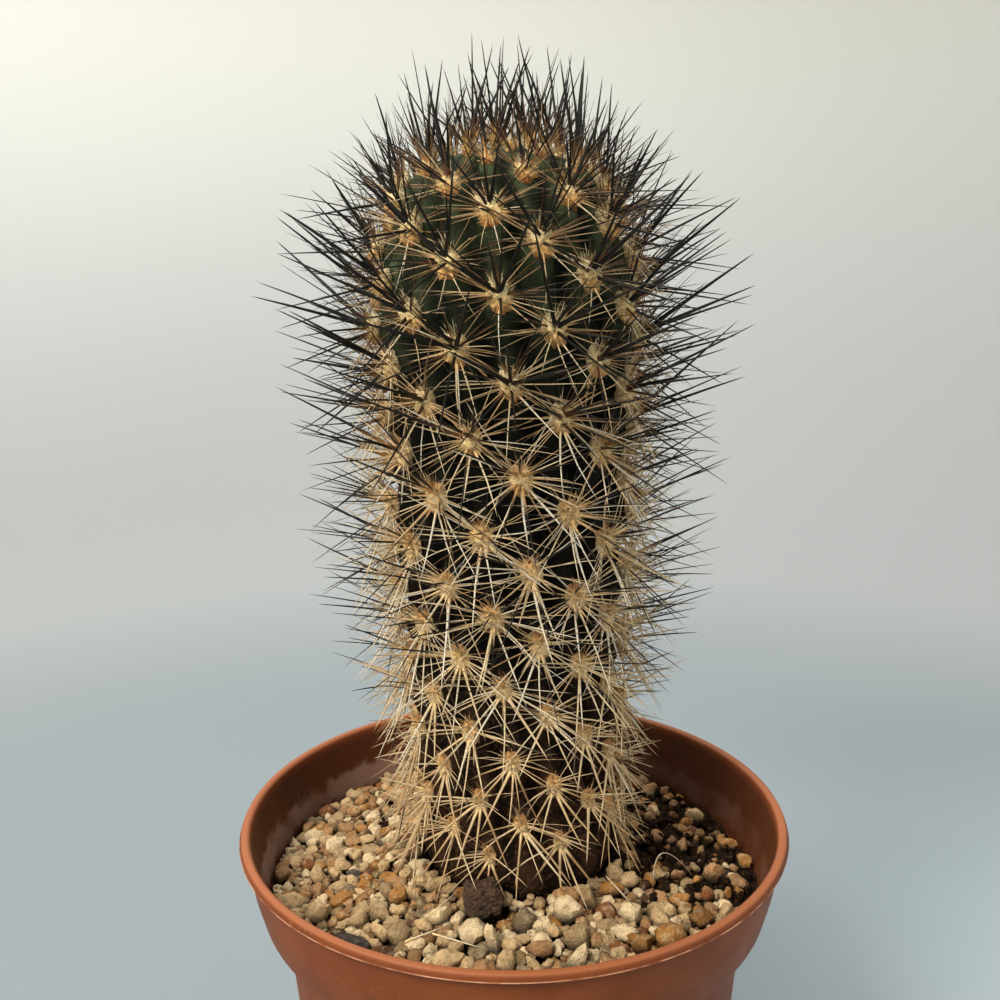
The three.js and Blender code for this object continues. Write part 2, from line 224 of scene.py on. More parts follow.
def sleeve_size(rings, sides):
    """Points of a closed sleeve: its rings and two poles."""
    return rings * sides + 2


def sleeve_faces(rings, sides, copies=1):
    """Faces of closed sleeves whose points are stored as start pole, rings and end pole: four-sided between
    two rings, three-sided round a pole. A ring's points run right-handed about the way from start to end."""
    around = np.arange(sides)
    beside = (around + 1) % sides
    foot = 1 + np.arange(rings - 1)[:, None] * sides
    quads = np.stack([foot + around, foot + beside, foot + beside + sides, foot + around + sides], -1)
    last = 1 + (rings - 1) * sides
    size = sleeve_size(rings, sides)
    start = np.stack([np.zeros(sides, int), 1 + beside, 1 + around], -1)
    end = np.stack([np.full(sides, size - 1), last + around, last + beside], -1)
    offset = (np.arange(copies) * size)[:, None, None]
    return [(quads.reshape(-1, 4) + offset).reshape(-1, 4),
            (np.concatenate([start, end]) + offset).reshape(-1, 3)]


def sleeves(start, rings, end):
    """Points and faces of N closed sleeves, from start poles (N, 3), rings (N, R, S, 3) and end poles
    (N, 3)."""
    copies, count, sides = rings.shape[:3]
    body = rings.reshape(copies, count * sides, 3)
    points = np.concatenate([start[:, None], body, end[:, None]], axis=1)
    return points.reshape(-1, 3), sleeve_faces(count, sides, copies)


def along_sleeves(start, rings, end, sides, copies):
    """A value for each point of N sleeves that depends only on its ring: one number for the start pole, one
    for each ring and one for the end pole."""
    one = np.concatenate([[start], np.repeat(rings, sides), [end]])
    return np.tile(one, copies)


def lathe(profile, sides, centre_x=None):
    """A closed surface of revolution about +Z: each point [radius, height] of the profile makes a ring, and
    its two ends lie on the axis. centre_x moves each ring sideways."""
    shift = np.zeros(len(profile)) if centre_x is None else centre_x
    rings = spun(profile[:, :1], profile[:, 1:], round_angles(sides))
    rings[..., 0] += shift[:, None]
    middles = np.stack([shift, 0 * shift, profile[:, 1]], -1)
    return sleeves(middles[:1], rings[None, 1:-1], middles[-1:])


def filleted(profile, radius, steps=5):
    """Rounds each inner corner of a profile: a quadratic arc starts and ends one radius from the corner, and
    a support point on either side keeps the straight stretch between two corners straight. On short
    stretches the arc takes up a limited share of each."""
    limit, support = 0.3, 1.5
    before, corner, after = profile[:-2], profile[1:-1], profile[2:]
    radius = np.broadcast_to(radius, (len(corner),))[:, None]

    def toward(other, share):
        """A point on the way from each corner to its neighbour, a share of the radius along."""
        gap = other - corner
        length = np.linalg.norm(gap, axis=1, keepdims=True)
        return corner + gap * np.minimum(share * radius / length, limit * share)

    t = np.linspace(0, 1, steps)[None, :, None]
    first, last = toward(before, 1)[:, None], toward(after, 1)[:, None]
    arc = (1 - t) ** 2 * first + 2 * t * (1 - t) * corner[:, None] + t ** 2 * last
    ends = toward(before, support)[:, None], toward(after, support)[:, None]
    rounded = np.concatenate([ends[0], arc, ends[1]], axis=1)
    return np.concatenate([profile[:1], rounded.reshape(-1, 2), profile[-1:]])


def add_mesh(name, points, faces, material):
    """A mesh object at the origin, from points in millimetres and arrays of faces, with smooth shading."""
    corners = np.concatenate([group.ravel() for group in faces]).astype(np.int32)
    sides = np.concatenate([np.full(len(group), group.shape[1]) for group in faces])
    starts = np.concatenate([[0], np.cumsum(sides)[:-1]]).astype(np.int32)
    mesh = bpy.data.meshes.new(name)
    mesh.vertices.add(len(points))
    mesh.vertices.foreach_set("co", (np.asarray(points) * MM).astype(np.float32).ravel())
    mesh.loops.add(len(corners))
    mesh.loops.foreach_set("vertex_index", corners)
    mesh.polygons.add(len(starts))
    mesh.polygons.foreach_set("loop_start", starts)
    mesh.update(calc_edges=True)
    mesh.validate()
    mesh.shade_smooth()
    mesh.materials.append(material)
    thing = bpy.data.objects.new(name, mesh)
    bpy.context.scene.collection.objects.link(thing)
    return thing


def set_values(thing, values):
    """Writes named numbers onto the points of a mesh, for its material to read."""
    for label, numbers in values.items():
        layer = thing.data.attributes.new(label, "FLOAT", "POINT")
        layer.data.foreach_set("value", np.asarray(numbers, np.float32))


def add_piece(name, points, faces, material, replaced=(), values=None):
    """A finished piece: its mesh, its numbers, the body that it rides on and what it stands for."""
    piece = add_mesh(name, points, faces, material)
    set_values(piece, values or {})
    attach(piece, "root")
    if replaced:
        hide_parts(*replaced)
    return piece


class Value:
    """One output of a material's node. Arithmetic on it adds Math nodes."""

    def __init__(self, finish, socket):
        self.finish = finish
        self.socket = socket

    def _math(self, operation, first, second):
        return self.finish.node("ShaderNodeMath", {"operation": operation}, {0: first, 1: second})

    def __add__(self, other):
        return self._math("ADD", self, other)

    def __radd__(self, other):
        return self._math("ADD", other, self)

    def __sub__(self, other):
        return self._math("SUBTRACT", self, other)

    def __rsub__(self, other):
        return self._math("SUBTRACT", other, self)

    def __mul__(self, other):
        return self._math("MULTIPLY", self, other)

    def __rmul__(self, other):
        return self._math("MULTIPLY", other, self)


class Finish:
    """A material on the standard shader, with its nodes made by the calls below."""

    def __init__(self, name, **uniform):
        self.material = bpy.data.materials.new(name)
        self.material.use_nodes = True
        self.tree = self.material.node_tree
        self.shader = self.tree.nodes["Principled BSDF"]
        for label, value in uniform.items():
            self.socket(label).default_value = value

    def socket(self, label):
        """A socket of the shader, from its name in small letters with underscores."""
        return self.shader.inputs[label.replace("_", " ").title().replace("Ior", "IOR")]

    def node(self, kind, settings=None, inputs=None, output=0):
        """Adds a node: its settings first, a ramp's stops among them, then the values or links of its
        sockets. Returns one of its outputs."""
        node = self.tree.nodes.new(kind)
        for label, value in (settings or {}).items():
            if label == "stops":
                ramp = node.color_ramp
                while len(ramp.elements) < len(value):
                    ramp.elements.new(1.0)
                for element, (place, colour) in zip(ramp.elements, value):
                    element.position = place
                    element.color = colour
            elif label == "interpolation":
                node.color_ramp.interpolation = value
            else:
                setattr(node, label, value)
        for label, value in (inputs or {}).items():
            if isinstance(value, Value):
                self.tree.links.new(value.socket, node.inputs[label])
            else:
                node.inputs[label].default_value = value
        return Value(self, node.outputs[output])

    def place(self):
        """The object's own coordinates, in metres."""
        return self.node("ShaderNodeTexCoord", output="Object")

    def axis(self, letter):
        """The X, Y or Z of the object's own coordinates."""
        return self.node("ShaderNodeSeparateXYZ", inputs={0: self.place()}, output=letter)

    def number(self, label):
        """A number that the piece carries on its points."""
        return self.node("ShaderNodeAttribute", {"attribute_name": label}, output="Fac")

    def noise(self, size, detail=3.0, roughness=0.55, stretch=None):
        """Cloudy noise from 0 to 1 whose blots are about size millimetres across; stretch scales its axes."""
        place = self.place()
        if stretch:
            place = self.node("ShaderNodeMapping", inputs={"Vector": place, "Scale": stretch})
        return self.node("ShaderNodeTexNoise", inputs={
            "Vector": place, "Scale": 1 / (size * MM), "Detail": detail, "Roughness": roughness})

    def step(self, value, low, high):
        """0 up to low, 1 from high on, and an eased rise between. With low above high it falls instead."""
        return self.node("ShaderNodeMapRange", {"interpolation_type": "SMOOTHSTEP"},
                         {"Value": value, "From Min": low, "From Max": high})

    def mix(self, share, first, second):
        """The first colour at share 0, the second at share 1."""
        return self.node("ShaderNodeMix", {"data_type": "RGBA"}, {0: share, 6: first, 7: second}, output=2)

    def ramp(self, value, stops, interpolation="LINEAR"):
        """A colour read from stops, each a place from 0 to 1 and a colour."""
        return self.node("ShaderNodeValToRGB", {"stops": stops, "interpolation": interpolation}, {0: value})

    def shaded(self, colour, share):
        """A colour darkened towards black: share 1 leaves it as it is."""
        return self.mix(share, (0, 0, 0, 1), colour)

    def bump(self, height, depth, strength=1.0):
        """Feeds the shader's normal: depth in millimetres for a height of 1."""
        made = self.node("ShaderNodeBump", inputs={
            "Height": height, "Distance": depth * MM, "Strength": strength}, output="Normal")
        self.tree.links.new(made.socket, self.socket("normal"))

    def paint(self, **channels):
        """Links what varies over the surface to the shader's own sockets."""
        for label, value in channels.items():
            self.tree.links.new(value.socket, self.socket(label))
        return self.material


def plastic_finish(settings):
    """Terracotta-coloured plastic: blotchy, dusty, finely scratched, with a pale lime band on its inner wall
    just over the gravel. Light and shade are painted on: a highlight on the rim's top, a bright highlight
    along the lip under the rim, and shade on the inner wall."""
    finish = Finish("terracotta_plastic", specular_ior_level=0.18)
    height, inside = finish.axis("Z"), finish.number("inside")

    def below_top(start, end, level=height):
        """A step of a height between two depths under the rim's top, in millimetres."""
        return finish.step(level, (POT_TOP - start) * MM, (POT_TOP - end) * MM)

    blotch = finish.noise(9, 4)
    light = 0.2 + 0.8 * finish.step(blotch, 0.25, 0.75)
    base = finish.mix(light, (*settings.plastic_dark, 1), (*settings.plastic, 1))
    # painted highlight: the top of the rim paler, where the light falls on it
    base = finish.mix(below_top(0.6, 0.1) * 0.75, base, (*settings.rim_highlight_colour, 1))
    # painted shade: the inner wall darker from just under the rim down into the pot
    base = finish.mix(inside * below_top(0.3, 2.5) * 0.7, base, (*settings.inner_shade_colour, 1))
    ragged = finish.noise(3.0, 4) - 0.5
    band = below_top(13.5, 12.0, height + ragged * 0.006) * below_top(7.0, 9.5, height + ragged * 0.007)
    lime = band * inside * finish.step(finish.noise(14, 2), 0.3, 0.55)
    lime = lime * (0.2 + 0.7 * finish.step(finish.axis("X"), 0.01, -0.02))
    base = finish.mix(lime, base, srgb(134, 104, 92))
    dust = finish.step(finish.noise(1.3, 5, 0.7), 0.6, 0.78) * settings.dust
    base = finish.mix(dust * 0.2, base, srgb(180, 134, 98))
    streak = finish.step(finish.noise(0.5, 2, 0.5, stretch=(1.0, 1.0, 0.08)), 0.64, 0.74)
    patch = finish.step(finish.noise(17, 2), 0.5, 0.62)
    base = finish.mix(streak * patch * 0.25, base, srgb(190, 142, 106))
    grit = finish.step(finish.noise(0.35, 2, 0.5), 0.7, 0.76)
    base = finish.mix(grit * 0.35, base, srgb(206, 160, 122))
    # painted highlight: a thin pale line along the lip under the rim, broken by noise, on the outside only
    lip = below_top(LIP_DROP + 0.06, LIP_DROP) * below_top(LIP_DROP - 0.12, LIP_DROP - 0.05)
    lip = lip * (1 - inside) * finish.step(finish.noise(5, 4, 0.6), 0.4, 0.64)
    base = finish.mix(lip * 0.6, base, srgb(216, 170, 136))
    finish.bump(finish.noise(0.6, 3) * 0.5 + blotch * 0.4, 0.05)
    return finish.paint(base_color=base, roughness=0.42 + 0.2 * finish.noise(4, 3) + dust * 0.2)


def soil_finish():
    """Damp black-brown potting mix with paler grains and fibres."""
    finish = Finish("damp_mix", roughness=0.95, specular_ior_level=0.1)
    clod = finish.noise(1.2, 6, 0.7)
    base = finish.ramp(clod, [(0.3, srgb(8, 6, 4)), (0.52, srgb(38, 26, 16)), (0.72, srgb(92, 64, 38))])
    grain = finish.step(finish.noise(0.5, 2), 0.66, 0.73)
    base = finish.mix(grain * 0.6, base, srgb(164, 122, 78))
    finish.bump(clod + 0.5 * finish.noise(0.4, 3), 1.2)
    return finish.paint(base_color=base)


def pebble_finish():
    """Quartz and chert pebbles: one colour a stone, cloudy inside it, with rusty stains, dirt and fine
    grain."""
    finish = Finish("pebbles", specular_ior_level=0.3)
    stops = [(index / len(PEBBLE_COLOURS), colour) for index, colour in enumerate(PEBBLE_COLOURS)]
    base = finish.ramp(finish.number("tint"), stops, "CONSTANT")
    cloud = finish.noise(1.2, 4, 0.6)
    base = finish.mix(finish.step(cloud, 0.48, 0.72) * 0.55, base, srgb(248, 224, 178))
    stain = finish.step(finish.noise(1.5, 5, 0.65), 0.55, 0.68)
    base = finish.mix(stain * 0.42, base, srgb(176, 120, 62))
    dirt = finish.step(finish.noise(0.8, 4, 0.7), 0.5, 0.7)
    base = finish.mix(dirt * 0.55, base, srgb(84, 62, 38))
    grain = finish.noise(0.4, 3, 0.7)
    base = finish.shaded(base, finish.number("shade") * (0.8 + 0.2 * finish.step(grain, 0.35, 0.6)))
    finish.bump(cloud * 0.9 + grain * 0.6, 0.9)
    return finish.paint(base_color=base, roughness=0.6 + 0.3 * grain)


def chunk_finish():
    """The dark chunk: porous, reddish brown above and grey-brown below."""
    finish = Finish("dark_stone", roughness=0.9)
    above = finish.step(finish.axis("Z"), (CHUNK_CENTRE[2] - 1.5) * MM, (CHUNK_CENTRE[2] + 2.2) * MM)
    pores = finish.noise(0.55, 5, 0.75)
    low = finish.ramp(pores, [(0.38, srgb(16, 11, 8)), (0.64, srgb(104, 80, 54))])
    high = finish.ramp(pores, [(0.38, srgb(24, 15, 10)), (0.64, srgb(118, 84, 58))])
    finish.bump(pores, 0.8)
    return finish.paint(base_color=finish.mix(above, low, high))


def skin_finish(settings):
    """Cactus skin: bloomed dark green at the top, with painted highlights, blackish below, and corky
    purple-brown at the foot. Painted shade darkens the furrows and the notches above the areoles.
    """
    finish = Finish("cactus_skin", specular_ior_level=0.1)
    row = finish.number("row")
    uneven = row + (finish.noise(7, 3) - 0.5) * 2.2
    age = finish.step(uneven, -2.0, 9.0)
    base = finish.ramp(age, [
        (0.0, (*settings.young_skin, 1)), (0.03, (*settings.young_skin, 1)), (0.12, srgb(30, 38, 22)),
        (0.24, (*settings.old_skin, 1)), (0.62, srgb(26, 18, 12)), (1.0, srgb(60, 40, 28))])
    crest = finish.number("crest")
    # pale blue-grey waxy spots and painted highlights on the young skin near the crown
    bloom_and_highlight = finish.step(finish.noise(2.4, 4, 0.6), 0.4, 0.64) * (1 - finish.step(uneven, -1.2, 0.9))
    base = finish.mix(bloom_and_highlight * 0.4, base, srgb(100, 112, 84))
    # painted shade: the skin darker in the furrows between the ribs and in the notches above the areoles
    base = finish.shaded(base, 0.16 + 0.84 * finish.step(crest, 0.0, 0.65))
    cork = finish.step(finish.noise(1.1, 5, 0.65), 0.5, 0.66) * finish.step(uneven, 3.5, 7.0)
    base = finish.mix(cork * 0.5, base, srgb(112, 80, 54))
    speck = finish.step(finish.noise(0.42, 2, 0.5), 0.66, 0.74)
    base = finish.mix(speck * 0.12, base, srgb(132, 136, 108))
    finish.bump(finish.noise(0.6, 4) * 0.6 + cork * 0.9, 0.15)
    return finish.paint(base_color=base, roughness=0.6 + 0.25 * finish.noise(3, 3) + cork * 0.2)


def felt_finish(name):
    """Areole wool: cream above, orange-tan at the lower edge and straw-coloured on the oldest areoles, with
    painted shade that darkens it to orange-brown in its creases."""
    finish = Finish(name, roughness=0.95, sheen_weight=0.15, specular_ior_level=0.1)
    drop = finish.number("drop")
    grown = finish.step(finish.number("age"), 0.2, 0.5)
    young = finish.ramp(drop, [
        (0.0, srgb(255, 244, 202)), (0.5, srgb(255, 230, 166)), (0.8, srgb(246, 192, 114)),
        (1.0, srgb(204, 130, 64))])
    old = finish.ramp(drop, [
        (0.0, srgb(218, 150, 84)), (0.3, srgb(255, 214, 146)), (0.7, srgb(255, 226, 174)),
        (1.0, srgb(226, 158, 96))])
    base = finish.mix(grown, young, old)
    # painted shade: darker orange-brown in the creases of the wool, spread by the strand noise
    crease_shade = finish.mix(grown, srgb(156, 94, 40), srgb(182, 118, 58))
    strand = finish.noise(0.55, 4, 0.65)
    base = finish.mix(0.5 + 0.5 * finish.step(strand, 0.36, 0.5), crease_shade, base)
    finish.bump(strand, 0.9)
    return finish.paint(base_color=base)


def spine_finish():
    """Horny spines: dark, straw or silver along, with a cream to black root. The number tip makes the outer
    part dark: the higher it is, the darker the end and the nearer to the root it starts."""
    finish = Finish("spines", specular_ior_level=0.3)
    along = finish.number("along")
    body = finish.ramp(finish.number("tone"), [
        (0.0, srgb(10, 8, 7)), (0.2, srgb(34, 23, 15)), (0.4, srgb(106, 76, 48)),
        (0.6, srgb(184, 150, 106)), (0.8, srgb(216, 194, 154)), (1.0, srgb(222, 218, 204))])
    root = finish.ramp(finish.number("root"), [
        (0.0, srgb(236, 208, 156)), (0.3, srgb(226, 176, 106)), (0.6, srgb(120, 76, 40)),
        (1.0, srgb(12, 9, 7))])
    base = finish.mix(finish.step(along, 0.03, 0.24), root, body)
    tip = finish.number("tip")
    dark_end = finish.step(tip, 0.0, 0.5) * finish.step(along, 0.66 - 0.52 * tip, 1.0 - 0.62 * tip)
    base = finish.mix(dark_end, base, srgb(16, 14, 11))
    streak = finish.noise(0.5, 3, 0.6)
    base = finish.mix(0.72 + 0.28 * finish.step(streak, 0.3, 0.6), (0.01, 0.008, 0.006, 1), base)
    return finish.paint(base_color=base, roughness=0.4 + 0.25 * streak)


def floor_finish(settings):
    """Matt pale floor and backdrop with a painted gradient of light: greyer where the sheet starts to rise
    and paler higher up. A painted pool of light makes the floor a little lighter close to the pot at its
    right, over the pot's shadow, and painted shade makes the backdrop a little darker at its lower left and
    at its upper right."""
    finish = Finish("pale_floor", roughness=0.95, specular_ior_level=0.1)
    across, depth, height = (finish.axis(letter) for letter in "XYZ")
    floor = Vector(settings.floor_colour)
    # painted light: the floor lighter close to the pot at its right, over the pot's shadow
    painted_light_floor = floor * 1.5
    painted_light_pool = finish.step(across, 0.02, 0.12) * finish.step(depth, 0.24, 0.1)
    base = finish.mix(painted_light_pool, (*floor, 1), (*painted_light_floor, 1))
    # painted gradient of light: greyer at the foot of the backdrop, paler higher up
    risen = finish.step(height, -0.006, 0.018)
    base = finish.mix(risen, base, (*settings.foot_gradient_colour, 1))
    high = finish.step(height, 0.0, 0.6)
    base = finish.mix(high, base, (*settings.wall_colour, 1))
    # painted shade on the backdrop: darker at its upper right and at its lower left
    right_shade = 0.17 * finish.step(across, -0.1, 0.5) * high
    left_shade = 0.14 * finish.step(across, 0.15, -0.25) * finish.step(height, -0.02, 0.06) * (1 - high)
    return finish.paint(base_color=finish.shaded(base, 1 - right_shade - left_shade))


def pot_wall():
    """The outer wall of the pot from its foot to under the rim, as [radius, height]: a tapered body, a step
    outwards and a collar that leans out."""
    return np.array([
        (FOOT_RADIUS, 1.0), (44.5, 72.4), (45.0, 73.8), (46.6, 75.2), (48.3, 76.3), (48.8, 77.4),
        (50.2, 82.9), (51.1, POT_TOP - 2.4)])


def pot_profile(settings):
    """The pot's whole section from the middle of its underside, round the foot, up the outside, over the
    rim and down the inside to the middle of its floor. A thin lip runs round under the rim."""
    wall = settings.wall / MM
    outside = pot_wall()
    lip = POT_TOP - LIP_DROP
    rim = np.array([
        (RIM_RADIUS - 0.8, POT_TOP - 2.0), (RIM_RADIUS - 0.3, lip - 0.34), (RIM_RADIUS - 0.1, lip - 0.16),
        (RIM_RADIUS, lip), (RIM_RADIUS - 0.18, lip + 0.12), (RIM_RADIUS - 0.22, POT_TOP - 0.7),
        (RIM_RADIUS - 0.55, POT_TOP - 0.1), (RIM_RADIUS - 1.5, POT_TOP), (RIM_RADIUS - 2.1, POT_TOP - 0.5)])
    inside = outside[::-1][1:-1] - (wall, -0.5)
    inner = FOOT_RADIUS - FOOT_WIDTH
    underside = np.array([(0, FOOT_HEIGHT), (inner - 1, FOOT_HEIGHT), (inner, 0), (FOOT_RADIUS - 1, 0)])
    floor = np.array([(FOOT_RADIUS - wall + 0.1, FLOOR_LEVEL), (0, FLOOR_LEVEL)])
    return np.concatenate([underside, outside, rim, inside, floor])


def ball_grid(rings, sides):
    """Points of a unit ball: lower pole, rings of equal latitude steps, upper pole."""
    latitude = np.linspace(0, np.pi, rings + 2)[1:-1, None]
    ball = spun(np.sin(latitude), -np.cos(latitude), round_angles(sides))
    return np.concatenate([[[0, 0, -1]], ball.reshape(-1, 3), [[0, 0, 1]]])


def drain_cutter(settings):
    """Upright cylinders through the pot's floor: one in the middle and the others on a circle round it."""
    sides, low, high = 32, -4.0, 8.0
    middles = np.concatenate([np.zeros((1, 3)), spun(DRAIN_CIRCLE_RADIUS, 0, round_angles(DRAIN_HOLES))])
    ring = spun(settings.drain_radius / MM, 0, round_angles(sides))
    start, end = middles + (0, 0, low), middles + (0, 0, high)
    rings = np.stack([start, end], 1)[:, :, None] + ring
    points, faces = sleeves(start, rings, end)
    return add_mesh("drain_cutter", points, faces, None)


def make_pot(settings):
    """The pot is a filleted section turned about +Z, with its drainage holes cut out. Its number inside is 1
    on the inner wall and on the floor inside the pot, where the radius is less than that of the middle of the
    wall at that height."""
    profile = filleted(pot_profile(settings), settings.edge_radius / MM)
    points, faces = lathe(profile, settings.sides)
    pot = add_mesh("pot_shell", points, faces, plastic_finish(settings))
    cutter = drain_cutter(settings)
    cut = pot.modifiers.new("drain", "BOOLEAN")
    cut.operation = "DIFFERENCE"
    cut.solver = "EXACT"
    cut.object = cutter
    evaluated = pot.evaluated_get(bpy.context.evaluated_depsgraph_get())
    pot.data = bpy.data.meshes.new_from_object(evaluated)
    pot.modifiers.clear()
    bpy.data.objects.remove(cutter)
    pot.data.set_sharp_from_angle(angle=POT_SHARP_ANGLE)
    place = np.empty(len(pot.data.vertices) * 3, np.float32)
    pot.data.vertices.foreach_get("co", place)
    x, y, z = place.reshape(-1, 3).T / MM
    wall_radii, wall_heights = pot_wall().T
    middle = np.interp(z, wall_heights, wall_radii) - 0.5 * settings.wall / MM
    set_values(pot, {"inside": (np.hypot(x, y) < middle) & (z > FLOOR_LEVEL - 0.4)})
    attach(pot, "root")
    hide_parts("pot")


def bed_level(radius):
    """Height of the bed: a low mound that falls evenly from the middle to the wall, with the stones heaped
    up round the foot of the stem."""
    heap = HEAP_HEIGHT * bell(radius, HEAP_RADIUS, HEAP_WIDTH)
    return BED_CENTRE_LEVEL + (BED_WALL_LEVEL - BED_CENTRE_LEVEL) * radius / RIM_RADIUS + heap


def make_soil(settings, finish):
    """The potting mix is a turned section that fills the pot up to the bed, with a hole for the root that is
    shifted with the foot of the stem. Its top is roughened by ripples of three sizes."""
    gap, wall, round_root, steps = 0.35, 1.4, 0.5, 200
    floor, outer = FLOOR_LEVEL + gap, BED_OUTER_RADIUS + 0.9
    side = np.array([
        (FOOT_RADIUS - wall - gap, floor), (pot_wall()[1, 0] - wall - gap, 72.0), (outer, BED_WALL_LEVEL)])
    top = np.linspace(outer - 0.3, BED_INNER_RADIUS - 0.2, 64)
    top = np.stack([top, bed_level(top) - settings.soil_drop / MM], -1)
    root = np.stack([np.array(ROOT_RADII) + round_root, ROOT_HEIGHTS], -1)[::-1]
    start, end = np.array([[0, floor]]), np.array([[0, ROOT_TIP - round_root]])
    profile = np.concatenate([start, side, top, root, end])
    after_side = np.arange(len(profile)) > len(side)
    shift = smooth_step(40, 24, profile[:, 0]) * STEM_FOOT_X * after_side
    points, faces = lathe(profile, steps, shift)
    ring = np.repeat(np.arange(len(profile) - 2), steps)
    on_top = np.concatenate([[0], (ring >= len(side)) & (ring < len(side) + len(top) - 1), [0]])
    rough = 0.55 * ripple(points, 5.0, 3) + 0.4 * ripple(points, 2.2, 4) + 0.25 * ripple(points, 1.1, 5)
    points[:, 2] += on_top * rough
    add_piece("potting_mix", points, faces, finish, ("soil",))


def stones(centres, sizes, turns, tilts, rings, sides, seed, sharpness=18):
    """Worn broken stones. Each is a ball cut by random planes: its radius along a direction d is
    (1 + sum of (d.n / h) ^ q) ^ (-1 / q) over planes with normal n at distance h, where q sets how sharp the
    edges are. Ripples roughen it, and it is stretched to the stone's three sizes, tilted and turned."""
    draw = np.random.default_rng(seed)
    ball = ball_grid(rings, sides)
    count, planes, filled_out = len(centres), 10, 1.14
    normals = unit(draw.normal(size=(count, planes, 3)))
    offsets = draw.uniform(0.5, 1.0, (count, planes, 1))
    facing = np.maximum(np.einsum("npk,vk->npv", normals, ball), 0) / offsets
    radius = (1 + (facing ** sharpness).sum(1)) ** (-1 / sharpness)
    points = ball[None] * radius[..., None]
    own = points + draw.uniform(-50, 50, (count, 1, 3))
    lumps = 0.09 * ripple(own, 1.1, seed) + 0.06 * ripple(own, 0.6, seed + 1)
    points = (points + ball[None] * lumps[..., None]) * filled_out * sizes[:, None, :]
    x, y, z = np.moveaxis(points, -1, 0)
    y, z = turned(y, z, tilts[:, None])
    x, y = turned(x, y, turns[:, None])
    points = np.stack([x, y, z], -1) + centres[:, None]
    return points.reshape(-1, 3), sleeve_faces(rings, sides, count)


def settled(plan, radii, fixed, passes=70):
    """Spreads round stones in the ring between stem and wall: each pass pushes overlapping pairs apart and
    then brings every stone back into the ring. The first `fixed` stones stay where they are."""
    kept = plan[:fixed].copy()
    for _ in range(passes):
        gap = plan[:, None] - plan[None]
        itself = np.eye(len(plan)) * 1e6
        distance = np.linalg.norm(gap, axis=-1) + itself + 1e-6
        overlap = np.maximum(radii[:, None] + radii[None] - distance, 0)
        plan = plan + 0.5 * (gap / distance[..., None] * overlap[..., None]).sum(1)
        reach = np.linalg.norm(plan, axis=1, keepdims=True)
        plan = plan * np.minimum((BED_OUTER_RADIUS - radii[:, None]) / reach, 1)
        from_stem = plan - (STEM_FOOT_X, 0)
        reach = np.linalg.norm(from_stem, axis=1, keepdims=True)
        plan = (STEM_FOOT_X, 0) + from_stem * np.maximum((BED_INNER_RADIUS + radii[:, None]) / reach, 1)
        plan[:fixed] = kept
    return plan


def bareness(plan):
    """How much soil shows at a place of the bed, from 0 to 1: most on the right, some at the back and none in
    front."""
    turn = np.arctan2(plan[:, 1], plan[:, 0])
    shown = sum(strength * bell(turn, middle, width) for strength, middle, width in BARE_PATCHES)
    return np.clip(shown, 0, 1)


# A layer of gravel: its piece, the setting that counts its stones, their smallest and largest half size, the
# seed, single stones, lift as a share of the half height, spread of the heights, brightness, lower for the
# layers below the larger stones as painted shade between them, and the rings and sides of a stone's mesh
Layer = namedtuple("Layer", "piece count low high seed landmarks lift spread light rings sides")
LAYERS = (
    Layer("gravel_upper", "upper_count", 0.88, 2.2, 21, LANDMARK_STONES, 0.45, 0.9, 1.0, 7, 11),
    Layer("gravel_lower", "lower_count", 0.65, 1.3, 22, (), 0.25, 1.1, 0.86, 6, 8),
    Layer("gravel_grit", "grit_count", 0.25, 0.7, 23, (), 0.6, 1.2, 0.6, 4, 6),
)


def laid_stones(settings, layer):
    """The stones of a layer: centres, half sizes, turns, tilts and colours, thinned where soil shows. The
    single stones come first."""
    draw = np.random.default_rng(layer.seed)
    count = getattr(settings, layer.count)
    half = layer.low + (layer.high - layer.low) * draw.beta(1.3, 2.6, count)
    turn = draw.uniform(0, 2 * np.pi, count)
    reach = np.sqrt(draw.uniform(BED_INNER_RADIUS ** 2, BED_OUTER_RADIUS ** 2, count))
    plan = spun(reach, 0, turn)[:, :2]
    sizes = half[:, None] * draw.uniform((0.95, 0.75, 0.7), (1.45, 1.05, 1.05), (count, 3))
    turns = draw.uniform(0, 2 * np.pi, count)
    tilts = draw.normal(0, 0.7, count)
    colours = len(PEBBLE_COLOURS)
    usual = draw.choice(colours, count, p=BED_SHARES)
    # the browner colours where soil shows stand partly for the soil and partly for painted shade
    among_soil = draw.choice(colours, count, p=BARE_AND_SHADED_SHARES)
    tints = np.where(draw.random(count) < bareness(plan), among_soil, usual)
    fixed = len(layer.landmarks)
    if fixed:
        single = np.array(layer.landmarks, float)
        plan = np.concatenate([single[:, :2], plan])
        half = np.concatenate([single[:, 2:4].mean(1), half])
        sizes = np.concatenate([single[:, 2:5], sizes])
        turns = np.concatenate([np.radians(single[:, 5]), turns])
        tilts = np.concatenate([np.radians(single[:, 6]), tilts])
        tints = np.concatenate([single[:, 7], tints])
    nestling, single_lift, over_soil = 0.96, 0.6, 0.1
    plan = settled(plan, half * nestling, fixed)
    keep = draw.random(len(plan)) > settings.thinning * bareness(plan)
    keep[:fixed] = True
    chunk_gap = np.linalg.norm(plan - np.array(CHUNK_CENTRE[:2]), axis=1)
    keep &= chunk_gap > CHUNK_RADIUS * 0.8 + 0.7 * half
    plan, sizes, turns, tilts, tints = (item[keep] for item in (plan, sizes, turns, tilts, tints))
    jump = np.random.default_rng(layer.seed + 10).uniform(-0.7, 0.5, len(plan)) * layer.spread
    jump[:fixed] = single_lift
    height = bed_level(np.linalg.norm(plan, axis=1)) + layer.lift * sizes[:, 2] + jump + over_soil
    return np.concatenate([plan, height[:, None]], axis=1), sizes, turns, tilts, tints


